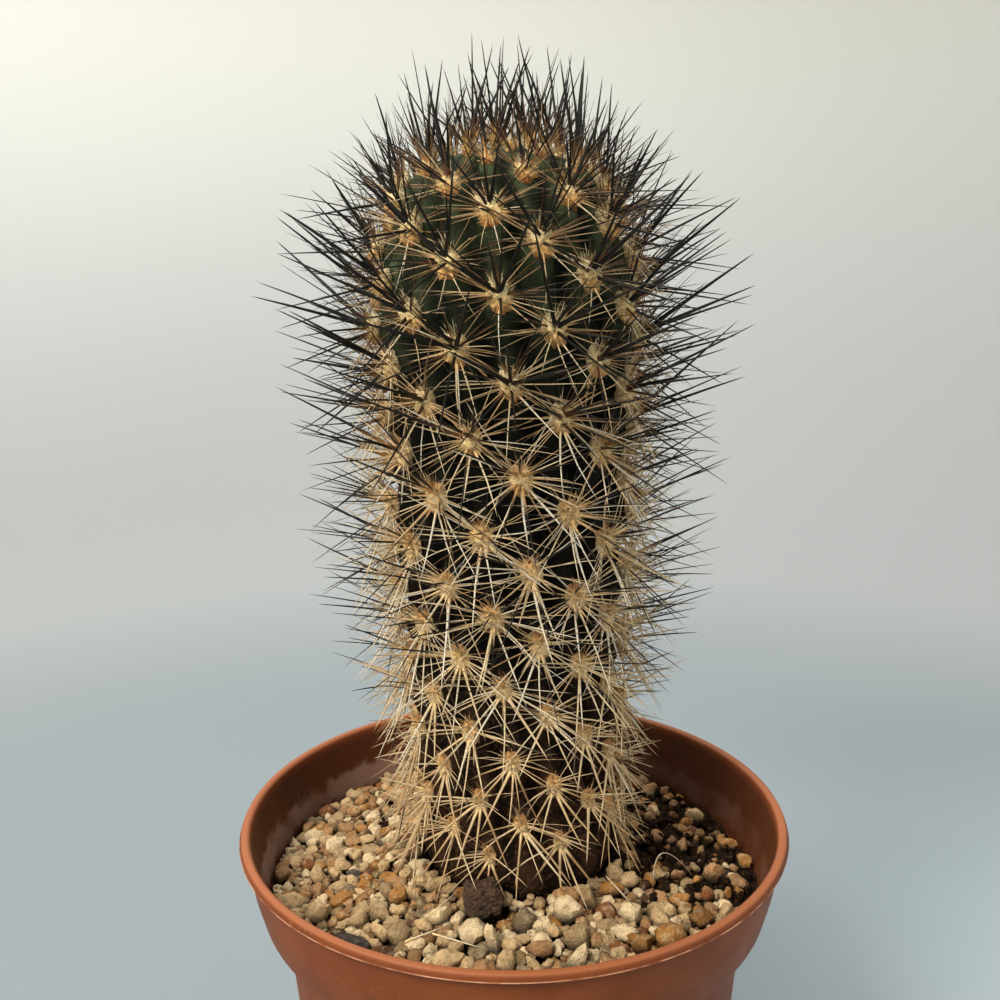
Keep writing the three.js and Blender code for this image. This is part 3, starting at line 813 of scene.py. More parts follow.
def make_gravel(settings):
    """The gravel: every stone is its own closed body in one mesh a layer. Stones are darker low down, in the
    deeper layers and, a little, where soil shows and at the left: painted shade under and between the stones,
    and a painted shadow of the rim at the left."""
    finish = pebble_finish()
    for layer in LAYERS:
        centres, sizes, turns, tilts, tints = laid_stones(settings, layer)
        seed, count, size = layer.seed + 10, len(centres), sleeve_size(layer.rings, layer.sides)
        points, faces = stones(centres, sizes, turns, tilts, layer.rings, layer.sides, seed)
        # painted shadow of the rim: stones at the left darker, and a little darker where soil shows as
        # painted shade
        left = smooth_step(-12, -34, centres[:, 0])
        tone = np.random.default_rng(seed).uniform(0.55, 0.98, count)
        tone = tone - 0.05 * bareness(centres[:, :2]) - 0.1 * left
        white = tints == WHITE
        tone[white] = 0.98 - 0.1 * left[white]
        # painted shade: each stone darker towards its lower side, nearly black at its foot, and darker in the
        # deeper layers
        rise = (points.reshape(count, size, 3)[..., 2] - centres[:, None, 2]) / sizes[:, None, 2]
        shade = tone[:, None] * layer.light * (0.04 + 0.96 * smooth_step(-0.55, 0.6, rise))
        values = {"tint": np.repeat((tints + 0.5) / len(PEBBLE_COLOURS), size), "shade": shade.ravel()}
        piece = add_piece(layer.piece, points, faces, finish, ("gravel",), values)
        piece.data.set_sharp_from_angle(angle=STONE_SHARP_ANGLE)


def make_chunk():
    """The dark chunk is a ball pushed towards a block: each direction (x, y, z) is divided by
    (|x| ^ p + |y| ^ p + |z| ^ p) ^ (1 / p). Ripples of three sizes give it pits and ridges."""
    rings, sides, power, turn = 40, 64, 6, 0.2
    ball = ball_grid(rings, sides)
    blocky = ball / (np.abs(ball) ** power).sum(-1, keepdims=True) ** (1 / power)
    pits = 0.07 * ripple(blocky, 1.7, 41) + 0.06 * ripple(blocky, 0.7, 42) + 0.04 * ripple(blocky, 0.3, 43)
    points = blocky * (0.84 + pits)[:, None] * CHUNK_RADIUS * (1.0, 0.84, 0.9)
    x, y = turned(points[:, 0], points[:, 1], turn)
    points = np.stack([x, y, points[:, 2]], -1) + CHUNK_CENTRE
    faces = sleeve_faces(rings, sides)
    add_piece("dark_chunk_stone", points, faces, chunk_finish(), ("dark_chunk",))


def make_crumbs(settings, mix):
    """Loose crumbs of potting mix, small stones in shape, which lie where the soil shows."""
    clods = settings.clod_count
    draw = np.random.default_rng(44)
    turns = draw.normal(0.2, 0.6, clods)
    reach = draw.uniform(BED_INNER_RADIUS + 1, BED_OUTER_RADIUS - 1, clods)
    half = draw.uniform(0.3, 1.25, clods)
    centres = spun(reach, bed_level(reach) + draw.uniform(-0.3, 1.0, clods), turns)
    sizes = half[:, None] * draw.uniform(0.7, 1.2, (clods, 3))
    points, faces = stones(centres, sizes, turns * 3, turns, 5, 8, 45)
    add_piece("soil_crumbs", points, faces, mix)


def stem_axis(height):
    """The x of the stem's axis at a height: it leans a little to one side."""
    return AXIS_SHIFT - AXIS_LEAN * (height - POT_TOP)


def rib_angle(rib, row):
    """The angle round the stem at which a rib stands at a row."""
    return FRONT_ANGLE + 2 * np.pi / RIBS * rib + TWIST_PER_ROW * row


def skin_point(rib, row, radius):
    """Points at a radius from the stem's axis."""
    height = smooth_read(row, STEM_ROWS, STEM_HEIGHTS)
    points = spun(radius, height, rib_angle(rib, row))
    points[..., 0] += stem_axis(height)
    return points


def make_stem(settings):
    """The ribbed stem. Over rib and row, the radius is that of the knots, less a furrow between ribs that
    follows a power of the cosine across the rib, and less a notch above each areole that follows the cosine
    along the rib. The root crown below narrows in plain rings."""
    sides, count = RIBS * settings.columns_per_rib, 240
    crest_power, above_areole, full_size = 1.4, 0.08, 20
    rib = (np.arange(sides) / settings.columns_per_rib)[None]
    row = np.linspace(FOOT_ROW, TOP_ROW, count)[:, None]
    whole = np.round(rib)
    across = np.abs(rib - whole)
    offset = row - whole * RIB_PHASE
    offset = offset - np.round(offset)
    base = smooth_read(row, STEM_ROWS, STEM_RADII)
    crest = np.cos(np.pi * across) ** crest_power
    notch = 0.5 - 0.5 * np.cos(2 * np.pi * (offset - above_areole))
    scale = np.clip(base / full_size, 0, 1)
    foot = smooth_step(FOOT_ROW + 0.1, FOOT_ROW - 1.2, row)
    furrow = settings.rib_depth * (1 - crest) * base * foot
    radius = base - furrow - scale * settings.notch_depth / MM * notch * (0.3 + 0.7 * crest) * foot
    points = skin_point(rib, row, radius)
    wobble = 0.22 * ripple(points, 9.0, 51) + 0.12 * ripple(points, 3.5, 52)
    outward = unit(points - np.stack([stem_axis(points[..., 2]), 0 * radius, points[..., 2]], -1))
    points = points + outward * (wobble * scale)[..., None]
    root_radius, root_height = np.array(ROOT_RADII)[:, None], np.array(ROOT_HEIGHTS)[:, None]
    root = spun(root_radius, root_height, rib_angle(rib, FOOT_ROW)) + (STEM_FOOT_X, 0, 0)
    rings = np.concatenate([root, points])
    start = np.array([[STEM_FOOT_X, 0, ROOT_TIP]])
    end = np.array([[stem_axis(STEM_HEIGHTS[0]), 0, STEM_HEIGHTS[0]]])
    points, faces = sleeves(start, rings[None], end)
    roots = np.full((len(ROOT_RADII), sides), FOOT_ROW)
    rows = np.concatenate([[FOOT_ROW], roots.ravel(), np.broadcast_to(row, radius.shape).ravel(), [TOP_ROW]])
    # how high the skin stands on the rib, which the skin's finish reads for its painted shade
    height = crest * (1 - 0.75 * notch)
    crests = np.concatenate([[0], 0 * roots.ravel(), height.ravel(), [1]])
    values = {"row": rows, "crest": crests}
    add_piece("stem", points, faces, skin_finish(settings), ("cactus",), values)


class Areoles:
    """All areoles of the stem: their rows, ages from 0 at the crown to 1 at the gravel, places and frames."""

    def __init__(self):
        youngest, rows_to_grow_old, beside = -1.5, 9, 0.2
        index = np.arange(FIRST_AREOLE, LAST_AREOLE + 1)
        self.row = index / RIBS
        rib = (index * RIB_STEP) % RIBS
        self.age = np.clip((self.row - youngest) / rows_to_grow_old, 0, 1)
        above, self.place, below = (
            skin_point(rib, row, smooth_read(row, STEM_ROWS, STEM_RADII))
            for row in (self.row - beside, self.row, self.row + beside))
        self.up = unit(above - below)
        turn = rib_angle(rib, self.row)
        self.right = np.stack([-np.sin(turn), np.cos(turn), 0 * turn], -1)
        self.out = unit(np.cross(self.right, self.up))
        crowding = np.clip((self.row + 2.7) / 1.6, 0.25, 1)
        bulge = np.sin(np.pi * self.age)
        self.half_width = crowding * (2.2 - 1.1 * self.age + 0.2 * bulge)
        self.half_height = crowding * (3.0 - 1.0 * self.age + 0.35 * bulge)

    def point(self, right, up, out):
        """Points near each areole, from arrays of distances (areoles, copies) along its frame."""
        return (self.place[:, None] + self.right[:, None] * right[..., None]
                + self.up[:, None] * up[..., None] + self.out[:, None] * out[..., None])

    def heading(self, lean, roll):
        """Directions that lean away from straight out, towards roll: 0 is up the stem and a right angle is
        to the right."""
        sideways = self.up[:, None] * np.cos(roll)[..., None] + self.right[:, None] * np.sin(roll)[..., None]
        return self.out[:, None] * np.cos(lean)[..., None] + sideways * np.sin(lean)[..., None]


def make_felt(areoles):
    """Felt pads: a lumpy cushion on each areole. Its rings are drawn in towards the top, and a cleft at its
    upper edge splits the young ones in two lobes."""
    draw = np.random.default_rng(61)
    sides, count = 22, len(areoles.row)
    levels = np.array([-1.0, 0.0, 0.45, 0.8, 1.1, 1.3, 1.42])
    widths = np.array([0.9, 1.0, 0.93, 0.8, 0.6, 0.38, 0.17])
    turn = round_angles(sides)
    cleft = 1 - 0.5 * (1 - areoles.age[:, None, None]) * bell(turn, np.pi / 2, 0.3)
    across = widths[None, :, None] * cleft * draw.uniform(0.92, 1.08, (count, len(levels), sides))
    right = across * np.cos(turn) * areoles.half_width[:, None, None]
    up = across * np.sin(turn) * areoles.half_height[:, None, None]
    thick = (0.55 + 0.45 * (1 - areoles.age))[:, None, None]
    out = levels[None, :, None] * thick + 0 * across
    flat = (count, len(levels) * sides)
    points = areoles.point(right.reshape(flat), up.reshape(flat), out.reshape(flat))
    lumps = 0.2 * ripple(points, 1.6, 63) + 0.2 * ripple(points, 0.8, 64) + 0.1 * ripple(points, 0.45, 65)
    swelling = areoles.out[:, None] * 1.2 + (points - areoles.place[:, None]) * 0.3
    points = points + swelling * lumps[..., None]
    start = areoles.place - areoles.out * 1.4
    end = areoles.place + areoles.out * 1.44 * thick[:, :, 0]
    points, faces = sleeves(start, points.reshape(count, len(levels), sides, 3), end)
    drop = 0.5 - 0.5 * (up / areoles.half_height[:, None, None])
    drop = np.concatenate([np.full((count, 1), 0.5), drop.reshape(flat), np.full((count, 1), 0.4)], axis=1)
    values = {"drop": drop.ravel(), "age": np.repeat(areoles.age, sleeve_size(len(levels), sides))}
    add_piece("areole_felt", points, faces, felt_finish("areole_felt"), ("cactus",), values)


def make_tufts(areoles, settings):
    """Wool tufts: short pointed locks that stand out of each felt pad and lie away from its middle, longest
    along its upper edge."""
    draw = np.random.default_rng(62)
    shape = (len(areoles.row), settings.tufts)
    reach = np.sqrt(draw.random(shape))
    roll = draw.uniform(-np.pi, np.pi, shape)
    width, height = areoles.half_width[:, None], areoles.half_height[:, None]
    right, up = reach * np.sin(roll) * width, reach * np.cos(roll) * height
    young = 1 - areoles.age[:, None]
    level = (0.15 + 0.9 * (1 - reach ** 2)) * (0.6 + 0.4 * young)
    roots = areoles.point(right * 0.92, up * 0.92, level)
    heading = areoles.heading(0.3 + 1.0 * reach, roll * 0.75)
    upper = smooth_step(0.1, 0.9, np.cos(roll)) * reach
    length = draw.uniform(0.6, 1.5, shape) * (0.6 + 0.4 * young) + draw.uniform(0.2, 1.7, shape) * upper
    thickness = draw.uniform(0.08, 0.17, shape) * (0.7 + 0.3 * young)
    curve = draw.normal(0, 0.2, (*shape, 3)) * length[..., None]
    sides, rings, sunk = 3, (0.0, 0.5), 0.3
    points, faces = needles(roots, heading, length, thickness, curve, sides, rings, sunk)
    size = sleeve_size(len(rings), sides)
    drop = np.clip(0.5 - 0.5 * up / height + draw.uniform(-0.2, 0.2, shape), 0, 1)
    age = np.broadcast_to(areoles.age[:, None], shape)
    values = {"drop": np.repeat(drop.ravel(), size), "age": np.repeat(age.ravel(), size)}
    add_piece("areole_wool", points, faces, felt_finish("areole_wool"), ("cactus",), values)


def needles(roots, heading, length, thickness, curve, sides, rings, sink, taper=0.6, bulb=0.0):
    """Tapering needles. A ring at share t of the length lies at root + heading * length * t + curve * t ^ 2,
    and its radius is the thickness times (1 - t) ^ taper, swollen by the share bulb over the first
    millimetre. The root is sunk by a few tenths or more."""
    roots, heading, curve = (item.reshape(-1, 3) for item in (roots, heading, curve))
    length, thickness = length.reshape(-1), thickness.reshape(-1)
    helper = np.where(np.abs(heading[:, 2:3]) < 0.8, (0.0, 0.0, 1.0), (1.0, 0.0, 0.0))
    first = unit(np.cross(helper, heading))
    second = np.cross(heading, first)
    share = np.array(rings)
    centre = (roots[:, None] + heading[:, None] * (length[:, None] * share)[..., None]
              + curve[:, None] * (share ** 2)[None, :, None])
    swell = 1 + bulb * bell(length[:, None] * share, 0, 0.8)
    radius = thickness[:, None] * (1 - share) ** taper * swell
    turn = round_angles(sides)
    spoke = (first[:, None, None] * np.cos(turn)[None, None, :, None]
             + second[:, None, None] * np.sin(turn)[None, None, :, None])
    ring_points = centre[:, :, None] + spoke * radius[..., None, None]
    start = roots - heading * sink
    end = roots + heading * length[:, None] + curve
    return sleeves(start, ring_points, end)


def room_for(roots, heading, length, slack):
    """Shortens spines so that their tips stay inside the plant's reach and above the gravel. Those that are
    shortened end a random share short of the limit. Returns the share of its length that each keeps, or 0
    where none fits."""
    shortest, tries, clearance = 0.3, 22, 1.6
    shares = np.linspace(1, shortest, tries)
    tips = roots[..., None, :] + heading[..., None, :] * (length[..., None] * shares)[..., None]
    radius = np.hypot(tips[..., 0], tips[..., 1])
    height = tips[..., 2]
    fits = radius < np.interp(height, REACH_HEIGHTS, REACH_RADII)
    fits &= (height < REACH_HEIGHTS[-1]) & (height > bed_level(radius) + clearance)
    share = shares[np.argmax(fits, axis=-1)]
    share = np.where(share < 1, share * slack, share)
    return np.where(fits.any(-1), share, 0)


def spine_values(rings, sides, tone, root, tip):
    """The numbers that the spines' finish reads, on every point of needles that have one tone, root and tip
    each: the share of the length goes from 0 at the root to 1 at the tip."""
    size = sleeve_size(len(rings), sides)
    values = {"tone": np.repeat(tone, size), "root": np.repeat(root, size), "tip": np.repeat(tip, size)}
    values["along"] = along_sleeves(0, rings, 1, sides, len(tone))
    return values


def add_spines(kind, areoles):
    """One kind of spine on every areole. A look takes the areoles' ages, a share that rises to 1 at the
    crown, and two sources of random numbers, even and bell-shaped. It gives the spines' numbers as arrays
    (areoles, copies): lean and roll of the heading, seat of the root as a share of the way from the pad's
    middle to its edge, height of the root over the skin, length, thickness, sideways bend, sag down the
    stem, the numbers for the finish, the share of the copies that an areole keeps, and how short of its
    limit a shortened one may end."""
    draw = np.random.default_rng(kind.seed)
    shape = (len(areoles.row), kind.copies)

    def vary(low, high):
        """One even random number for each spine."""
        return draw.uniform(low, high, shape)

    def scatter(width):
        """One bell-shaped random number for each spine."""
        return draw.normal(0, width, shape)

    crown = smooth_step(*CROWN_ROWS, areoles.row)
    spine = kind.look(areoles.age[:, None], crown[:, None], vary, scatter)
    spine = {label: np.broadcast_to(numbers, shape) for label, numbers in spine.items()}
    heading = areoles.heading(spine["lean"], spine["roll"])
    side = spine["seat"] * areoles.half_width[:, None] * np.sin(spine["roll"])
    rise = spine["seat"] * areoles.half_height[:, None] * np.cos(spine["roll"])
    roots = areoles.point(side, rise, spine["level"])
    share = room_for(roots, heading, spine["length"], vary(spine["slack"], 1.0))
    kept = (share > 0) & (draw.random(shape) < spine["share"])
    length = spine["length"] * share
    wander = draw.normal(0, 1, (*shape, 3)) * spine["bend"][..., None]
    curve = (wander - areoles.up[:, None] * spine["sag"][..., None]) * length[..., None]
    thickness = spine["thickness"] * (0.6 + 0.4 * share)
    sunk = 1.2
    points, faces = needles(
        *(item[kept] for item in (roots, heading, length, thickness, curve)),
        kind.sides, kind.rings, sunk, kind.taper, kind.bulb)
    values = spine_values(kind.rings, kind.sides, *(spine[label][kept] for label in ("tone", "root", "tip")))
    add_piece(kind.piece, points, faces, bpy.data.materials["spines"], ("cactus",), values)


def central_look(age, crown, vary, scatter):
    """Four stout central spines: black, long and upswept at the top, with tan roots and dark ends halfway
    down, and pale at the foot."""
    spread = smooth_step(0.08, 0.36, age)
    tan = smooth_step(0.24, 0.5, age)
    old = smooth_step(0.6, 0.85, age)
    upswept = np.array([0.84, 0.8, 0.5, 0.3]) * (1 - 0.3 * crown)
    lower = np.array([0.6, 0.55, 0.4, 0.5])
    wider = np.array([0.9, 0.9, 0.5, 0.0]) * spread
    roll = np.array([-0.5, 0.45, 0.04, math.pi]) * (1 + wider) + scatter(0.2)
    stout = np.array([1.0, 1.0, 0.8, 0.66]) * (1 - 0.15 * crown)
    full = np.array([25, 25, 23, 20]) * vary(0.74, 1.16)
    return {
        "lean": upswept + (lower - upswept) * spread + scatter(0.12),
        "roll": roll,
        "seat": 0.22 + 0.3 * tan,
        "level": 1.05 - 0.5 * age,
        "length": full * (1 - 0.32 * age) * (1 - 0.28 * crown),
        "thickness": (0.4 - 0.15 * tan - 0.03 * age) * stout * vary(0.85, 1.12),
        "bend": 0.02,
        "sag": 0.02 + 0.05 * old,
        "tone": np.clip(0.02 + 0.66 * tan + 0.08 * old + scatter(0.05), 0, 0.84),
        "root": np.clip(1 - 0.95 * tan - 0.7 * crown, 0, 1),
        "tip": np.clip(1 - 0.9 * old, 0, 1),
        "share": (1 - 0.35 * crown) * (1 - np.array([0.6, 0.6, 0.5, 0.3]) * old),
        "slack": 0.62,
    }


def side_look(age, crown, vary, scatter):
    """Thinner central spines that stand round the stout ones and give the stem its dark fringe."""
    spread = smooth_step(0.08, 0.36, age)
    tan = smooth_step(0.2, 0.5, age)
    old = smooth_step(0.5, 0.75, age)
    roll = np.array([-1.55, -1.0, -0.25, 0.3, 1.05, 1.6]) * (1 + 0.3 * spread)
    lean = np.array([0.78, 0.85, 0.62, 0.62, 0.85, 0.78]) * (1 - 0.3 * crown)
    return {
        "lean": lean * (1 - 0.1 * spread) + scatter(0.18),
        "roll": roll + scatter(0.28),
        "seat": 0.5,
        "level": 0.8 - 0.4 * age,
        "length": (18.5 - 5 * age) * (1 - 0.3 * crown) * vary(0.66, 1.2),
        "thickness": (0.2 - 0.02 * tan) * vary(0.8, 1.2),
        "bend": 0.03,
        "sag": 0.03 + 0.04 * old,
        "tone": np.clip(0.12 + 0.2 * crown + 0.56 * tan + 0.06 * old + scatter(0.07), 0.03, 0.85),
        "root": np.clip(0.75 - 0.7 * tan - 0.4 * crown, 0, 1),
        "tip": np.clip(1 - 0.9 * old - 0.45 * crown, 0, 1),
        "share": 1 - 0.66 * crown - 0.35 * spread - 0.5 * old,
        "slack": 0.55,
    }


def radial_look(age, crown, vary, scatter):
    """Thin radial spines, combed out to both sides: brown-tipped at the top, cream and stronger below, where
    the lower ones are the longest."""
    slots = np.array([0.6, 0.78, 0.95, 1.1, 1.24, 1.37, 1.49, 1.6, 1.72, 1.85, 2.0, 2.17, 2.38])
    old = smooth_step(0.55, 0.85, age)
    mid = smooth_step(0.14, 0.45, age)
    level_out = np.pi / 2 + (slots - np.pi / 2) * (0.74 + 0.26 * mid - 0.22 * old)
    roll = np.concatenate([level_out, -level_out], axis=1)
    stronger = 1 + old * np.tile((slots - 1.55) * 0.45, 2)
    tone = 0.54 + 0.25 * mid - 0.1 * old - 0.16 * crown + scatter(0.14 - 0.05 * old)
    fine = vary(0.45, 1.3)
    full = 12.6 + 2.2 * mid - 2.2 * old
    return {
        "lean": (1.2 + scatter(0.15)) * (1 - 0.55 * crown),
        "roll": roll + scatter(0.1),
        "seat": 0.6,
        "level": 0.35,
        "length": full * stronger * (1 - 0.25 * crown) * vary(0.7, 1.16),
        "thickness": (0.112 + 0.03 * mid + 0.045 * old) * fine * stronger,
        "bend": 0.08,
        "sag": 0.04 + 0.13 * old,
        "tone": np.clip(tone, 0.2, 0.94),
        "root": np.clip(0.15 - 0.15 * mid, 0, 1),
        "tip": (vary(0, 1) < 0.95 - 0.5 * mid - 0.3 * old) * vary(0.2, 0.6),
        "share": 1 - 0.08 * mid - 0.6 * old - 0.66 * crown,
        "slack": 0.7,
    }


def lower_look(age, crown, vary, scatter):
    """Strong pale spines that point down the stem, silvery at the top and straw-coloured below."""
    mid = smooth_step(0.1, 0.45, age)
    old = smooth_step(0.55, 0.85, age)
    lean = np.array([1.14, 1.0, 1.14]) - 0.08 * mid + scatter(0.1)
    return {
        "lean": lean * (1 - 0.7 * crown),
        "roll": math.pi + np.array([-0.5, 0.03, 0.5]) + scatter(0.18),
        "seat": 0.6,
        "level": 0.5,
        "length": np.array([9, 10.5, 9]) * (1 + 0.42 * mid) * vary(0.75, 1.2),
        "thickness": (0.115 + 0.12 * mid + 0.04 * old) * vary(0.7, 1.3),
        "bend": 0.07 - 0.02 * old,
        "sag": 0.0,
        "tone": np.clip(0.82 + 0.08 * mid - 0.24 * old - 0.5 * crown + scatter(0.09), 0.2, 0.96),
        "root": 0.15 - 0.14 * mid,
        "tip": (0.1 + 0.2 * (1 - age)) * vary(0, 1),
        "share": 0.8 + 0.2 * mid - 0.75 * crown,
        "slack": 0.75,
    }


def upper_look(age, crown, vary, scatter):
    """Thin spines that rise between the centrals: dark on young areoles, golden brown and short on old
    ones."""
    short = smooth_step(0.16, 0.48, age)
    old = smooth_step(0.55, 0.85, age)
    roll = np.array([-0.85, -0.5, -0.16, 0.16, 0.5, 0.85]) + scatter(0.14)
    return {
        "lean": (1.1 + scatter(0.15)) * (1 - 0.6 * crown),
        "roll": roll,
        "seat": 0.6,
        "level": 0.5,
        "length": (13 - 8.6 * short - 3 * crown) * vary(0.6, 1.25),
        "thickness": (0.13 - 0.03 * short) * vary(0.8, 1.2),
        "bend": 0.05,
        "sag": -0.02,
        "tone": np.clip(0.24 + 0.26 * short + 0.08 * old + 0.16 * crown + scatter(0.09), 0, 0.8),
        "root": np.clip(0.45 - 0.1 * short - 0.4 * crown, 0, 1),
        "tip": 0.6 * (1 - age) * (1 - 0.6 * crown),
        "share": (1.0 - 0.5 * old) * (1 - 0.55 * crown),
        "slack": 0.6,
    }


# Kinds of spine: piece, look, seed, copies on an areole, sides, the shares of the length at which a ring
# lies, taper and bulb
Kind = namedtuple("Kind", "piece look seed copies sides rings taper bulb")
SPINE_KINDS = (
    Kind("central_spines", central_look, 71, 4, 6, (0.0, 0.04, 0.12, 0.4, 0.7, 0.92), 0.54, 0.25),
    Kind("side_spines", side_look, 75, 6, 5, (0.0, 0.05, 0.15, 0.5, 0.88), 0.55, 0.2),
    Kind("radial_spines", radial_look, 72, 26, 4, (0.0, 0.12, 0.45, 0.85), 0.55, 0.0),
    Kind("lower_spines", lower_look, 73, 3, 5, (0.0, 0.12, 0.45, 0.85), 0.6, 0.2),
    Kind("upper_spines", upper_look, 74, 6, 3, (0.0, 0.12, 0.5, 0.86), 0.7, 0.0),
)


def make_shed_spines(settings):
    """Shed spines that lie across the tops of two stones each, in front of the stem and clear of the wall:
    the second stone is the one whose distance is nearest to the span, at about the same height."""
    draw = np.random.default_rng(81)
    centres, sizes, *_ = laid_stones(settings, LAYERS[0])
    span, thickness, sunk = 6.5, 0.2, 0.1
    tops = centres + sizes * (0, 0, 0.92)
    in_front = np.arctan2(tops[:, 1], tops[:, 0]) < -0.6
    clear = np.hypot(tops[:, 0], tops[:, 1]) < 38
    choice = np.flatnonzero(in_front & clear)
    first = draw.choice(choice, settings.shed_spines, replace=False)
    gap = np.linalg.norm(tops[first][:, None] - tops[None], axis=-1)
    drop = np.abs(tops[first][:, None, 2] - tops[None, :, 2])
    second = np.argmin(np.abs(gap - span) + 3 * drop, axis=1)
    heading = unit(tops[second] - tops[first])
    roots = tops[first] - heading * 2 + (0, 0, 0.1)
    count = len(roots)
    length = draw.uniform(9, 13, count)
    rings, sides = (0.0, 0.12, 0.45, 0.8), 5
    points, faces = needles(
        roots, heading, length, np.full(count, thickness), 0 * roots, sides, rings, sunk)
    values = spine_values(rings, sides, np.full(count, 0.85), np.zeros(count), np.full(count, 0.3))
    add_piece("shed_spines", points, faces, bpy.data.materials["spines"], (), values)


def make_rootlet():
    """A fine rootlet that arches out of the soil at the right: a tapering tube along a curve, from a place
    beside the stem to one near the wall, that rises and falls as a sine."""
    t = np.linspace(0, 1, 24)
    rise = 6.4 * np.sin(np.pi * t ** 0.62) ** 0.8
    path = np.stack([26.2 + 8.0 * t ** 1.3, -10.5 + 4.6 * t, 80.3 + rise], -1)
    way = unit(np.gradient(path, axis=0))
    side = unit(np.cross((0.5, -0.86, 0.1), way))
    other = np.cross(way, side)
    around = round_angles(6)[None, :, None]
    radius = 0.1 * (1 - 0.55 * t)[:, None, None]
    rings = path[:, None] + radius * (side[:, None] * np.cos(around) + other[:, None] * np.sin(around))
    points, faces = sleeves(path[:1] - way[:1] * 0.1, rings[None], path[-1:] + way[-1:] * 0.1)
    even = {"along": 0.6, "tone": 0.88, "root": 0, "tip": 0}
    values = {label: np.full(len(points), number) for label, number in even.items()}
    add_piece("rootlet", points, faces, bpy.data.materials["spines"], (), values)


def make_floor(settings):
    """Floor and backdrop in one turned sheet, a hair below the pot's foot: flat round the pot, then curving
    up to a wall all round."""
    flat, bend, wall, below = 250, 950, 1300, 0.02
    turn = np.linspace(0, np.pi / 2, 32)
    curve = np.stack([flat + bend * np.sin(turn), bend * (1 - np.cos(turn))], -1)
    profile = np.concatenate([[(flat * 0.5, 0)], curve, [(flat + bend, wall)]])
    sides = 96
    rings = spun(profile[:, :1], profile[:, 1:] - below, round_angles(sides))
    points = np.concatenate([[[0, 0, -below]], rings.reshape(-1, 3)])
    foot = 1 + np.arange(len(profile) - 1)[:, None] * sides
    spot, beside = np.arange(sides), (np.arange(sides) + 1) % sides
    quads = np.stack([foot + spot, foot + spot + sides, foot + beside + sides, foot + beside], -1)
    middle = np.stack([np.zeros(sides, int), 1 + spot, 1 + beside], -1)
    floor = add_mesh("floor", points, [quads.reshape(-1, 4), middle], floor_finish(settings))


def add_softbox(name, place, aim, size, power, colour):
    """A round soft light at a place that points at its aim. The camera doesn't see the light itself."""
    light = bpy.data.lights.new(name, "AREA")
    light.shape = "DISK"
    light.size = size
    light.energy = power
    light.color = colour
    lamp = bpy.data.objects.new(name, light)
    bpy.context.scene.collection.objects.link(lamp)
    lamp.location = place
    lamp.visible_camera = False
    lamp.rotation_euler = (Vector(aim) - Vector(place)).to_track_quat("-Z", "Y").to_euler()


def make_light(settings):
    """Plain soft studio light: a large key from the upper left front, a fill from the right, a soft box
    overhead behind the plant, one on the backdrop, and an even pale surround."""
    aim = (0, 0, 0.13)
    add_softbox("key", (-0.5, -0.55, 0.8), aim, 0.45, settings.key_power, (1.0, 0.93, 0.82))
    add_softbox("fill", (0.8, -0.45, 0.4), aim, 0.8, settings.fill_power, (0.98, 0.98, 1.0))
    add_softbox("top", (-0.1, 0.45, 0.9), aim, 0.6, settings.top_power, (1.0, 0.96, 0.9))
    wall = (-0.55, 1.2, 0.62)
    add_softbox("backdrop", (-0.35, 0.3, 0.7), wall, 0.5, settings.backdrop_power, (1.0, 0.97, 0.9))
    world = bpy.data.worlds.new("surround")
    bpy.context.scene.world = world
    world.use_nodes = True
    background = world.node_tree.nodes["Background"]
    background.inputs["Color"].default_value = (0.95, 0.95, 0.94, 1)
    background.inputs["Strength"].default_value = settings.surround
    bpy.context.scene.view_settings.view_transform = "Standard"


def make_camera(settings):
    """The photograph's viewpoint: close, a little above the plant's middle and tilted down."""
    pitch, yaw, roll = settings.pitch, settings.yaw, settings.roll
    ahead = Vector((math.sin(yaw) * math.cos(pitch), math.cos(yaw) * math.cos(pitch), -math.sin(pitch)))
    right = Vector((math.cos(yaw), -math.sin(yaw), 0))
    up = right.cross(ahead)
    level_right = right * math.cos(roll) + up * math.sin(roll)
    level_up = up * math.cos(roll) - right * math.sin(roll)
    data = bpy.data.cameras.new("camera")
    data.sensor_width = 36
    data.lens = settings.focal_length
    data.clip_start = 0.01
    camera = bpy.data.objects.new("camera", data)
    bpy.context.scene.collection.objects.link(camera)
    turn = Matrix((level_right, level_up, -ahead)).transposed().to_4x4()
    camera.matrix_world = Matrix.Translation(settings.viewpoint) @ turn
    bpy.context.scene.camera = camera


class PotSettings(bpy.types.PropertyGroup):
    """Sizes and colours of the plastic pot"""
    wall: FloatProperty(name="Wall", description="Thickness of the pot's wall", default=0.0014, unit="LENGTH")
    edge_radius: FloatProperty(
        name="Edge radius", description="Rounding of the pot's corners", default=0.0005, unit="LENGTH")
    drain_radius: FloatProperty(
        name="Drain radius", description="Radius of a drainage hole", default=0.0035, unit="LENGTH")
    sides: IntProperty(name="Sides", description="Steps round the pot", default=192)
    dust: FloatProperty(
        name="Dust", description="Share of the plastic that is dusty", default=0.7, subtype="FACTOR")
    plastic: FloatVectorProperty(
        name="Plastic", description="Light tone of the plastic", default=srgb(124, 65, 33)[:3],
        subtype="COLOR")
    plastic_dark: FloatVectorProperty(
        name="Dark plastic", description="Dark tone of the plastic", default=srgb(104, 52, 25)[:3],
        subtype="COLOR")
    # The rim's paler tone is a painted highlight on the rim's top
    rim_highlight_colour: FloatVectorProperty(
        name="Rim", description="Paler tone of the rim", default=srgb(164, 100, 64)[:3], subtype="COLOR")
    # The inner wall's tone is painted shade inside the pot
    inner_shade_colour: FloatVectorProperty(
        name="Inner wall", description="Tone of the stained inner wall", default=srgb(52, 29, 16)[:3],
        subtype="COLOR")


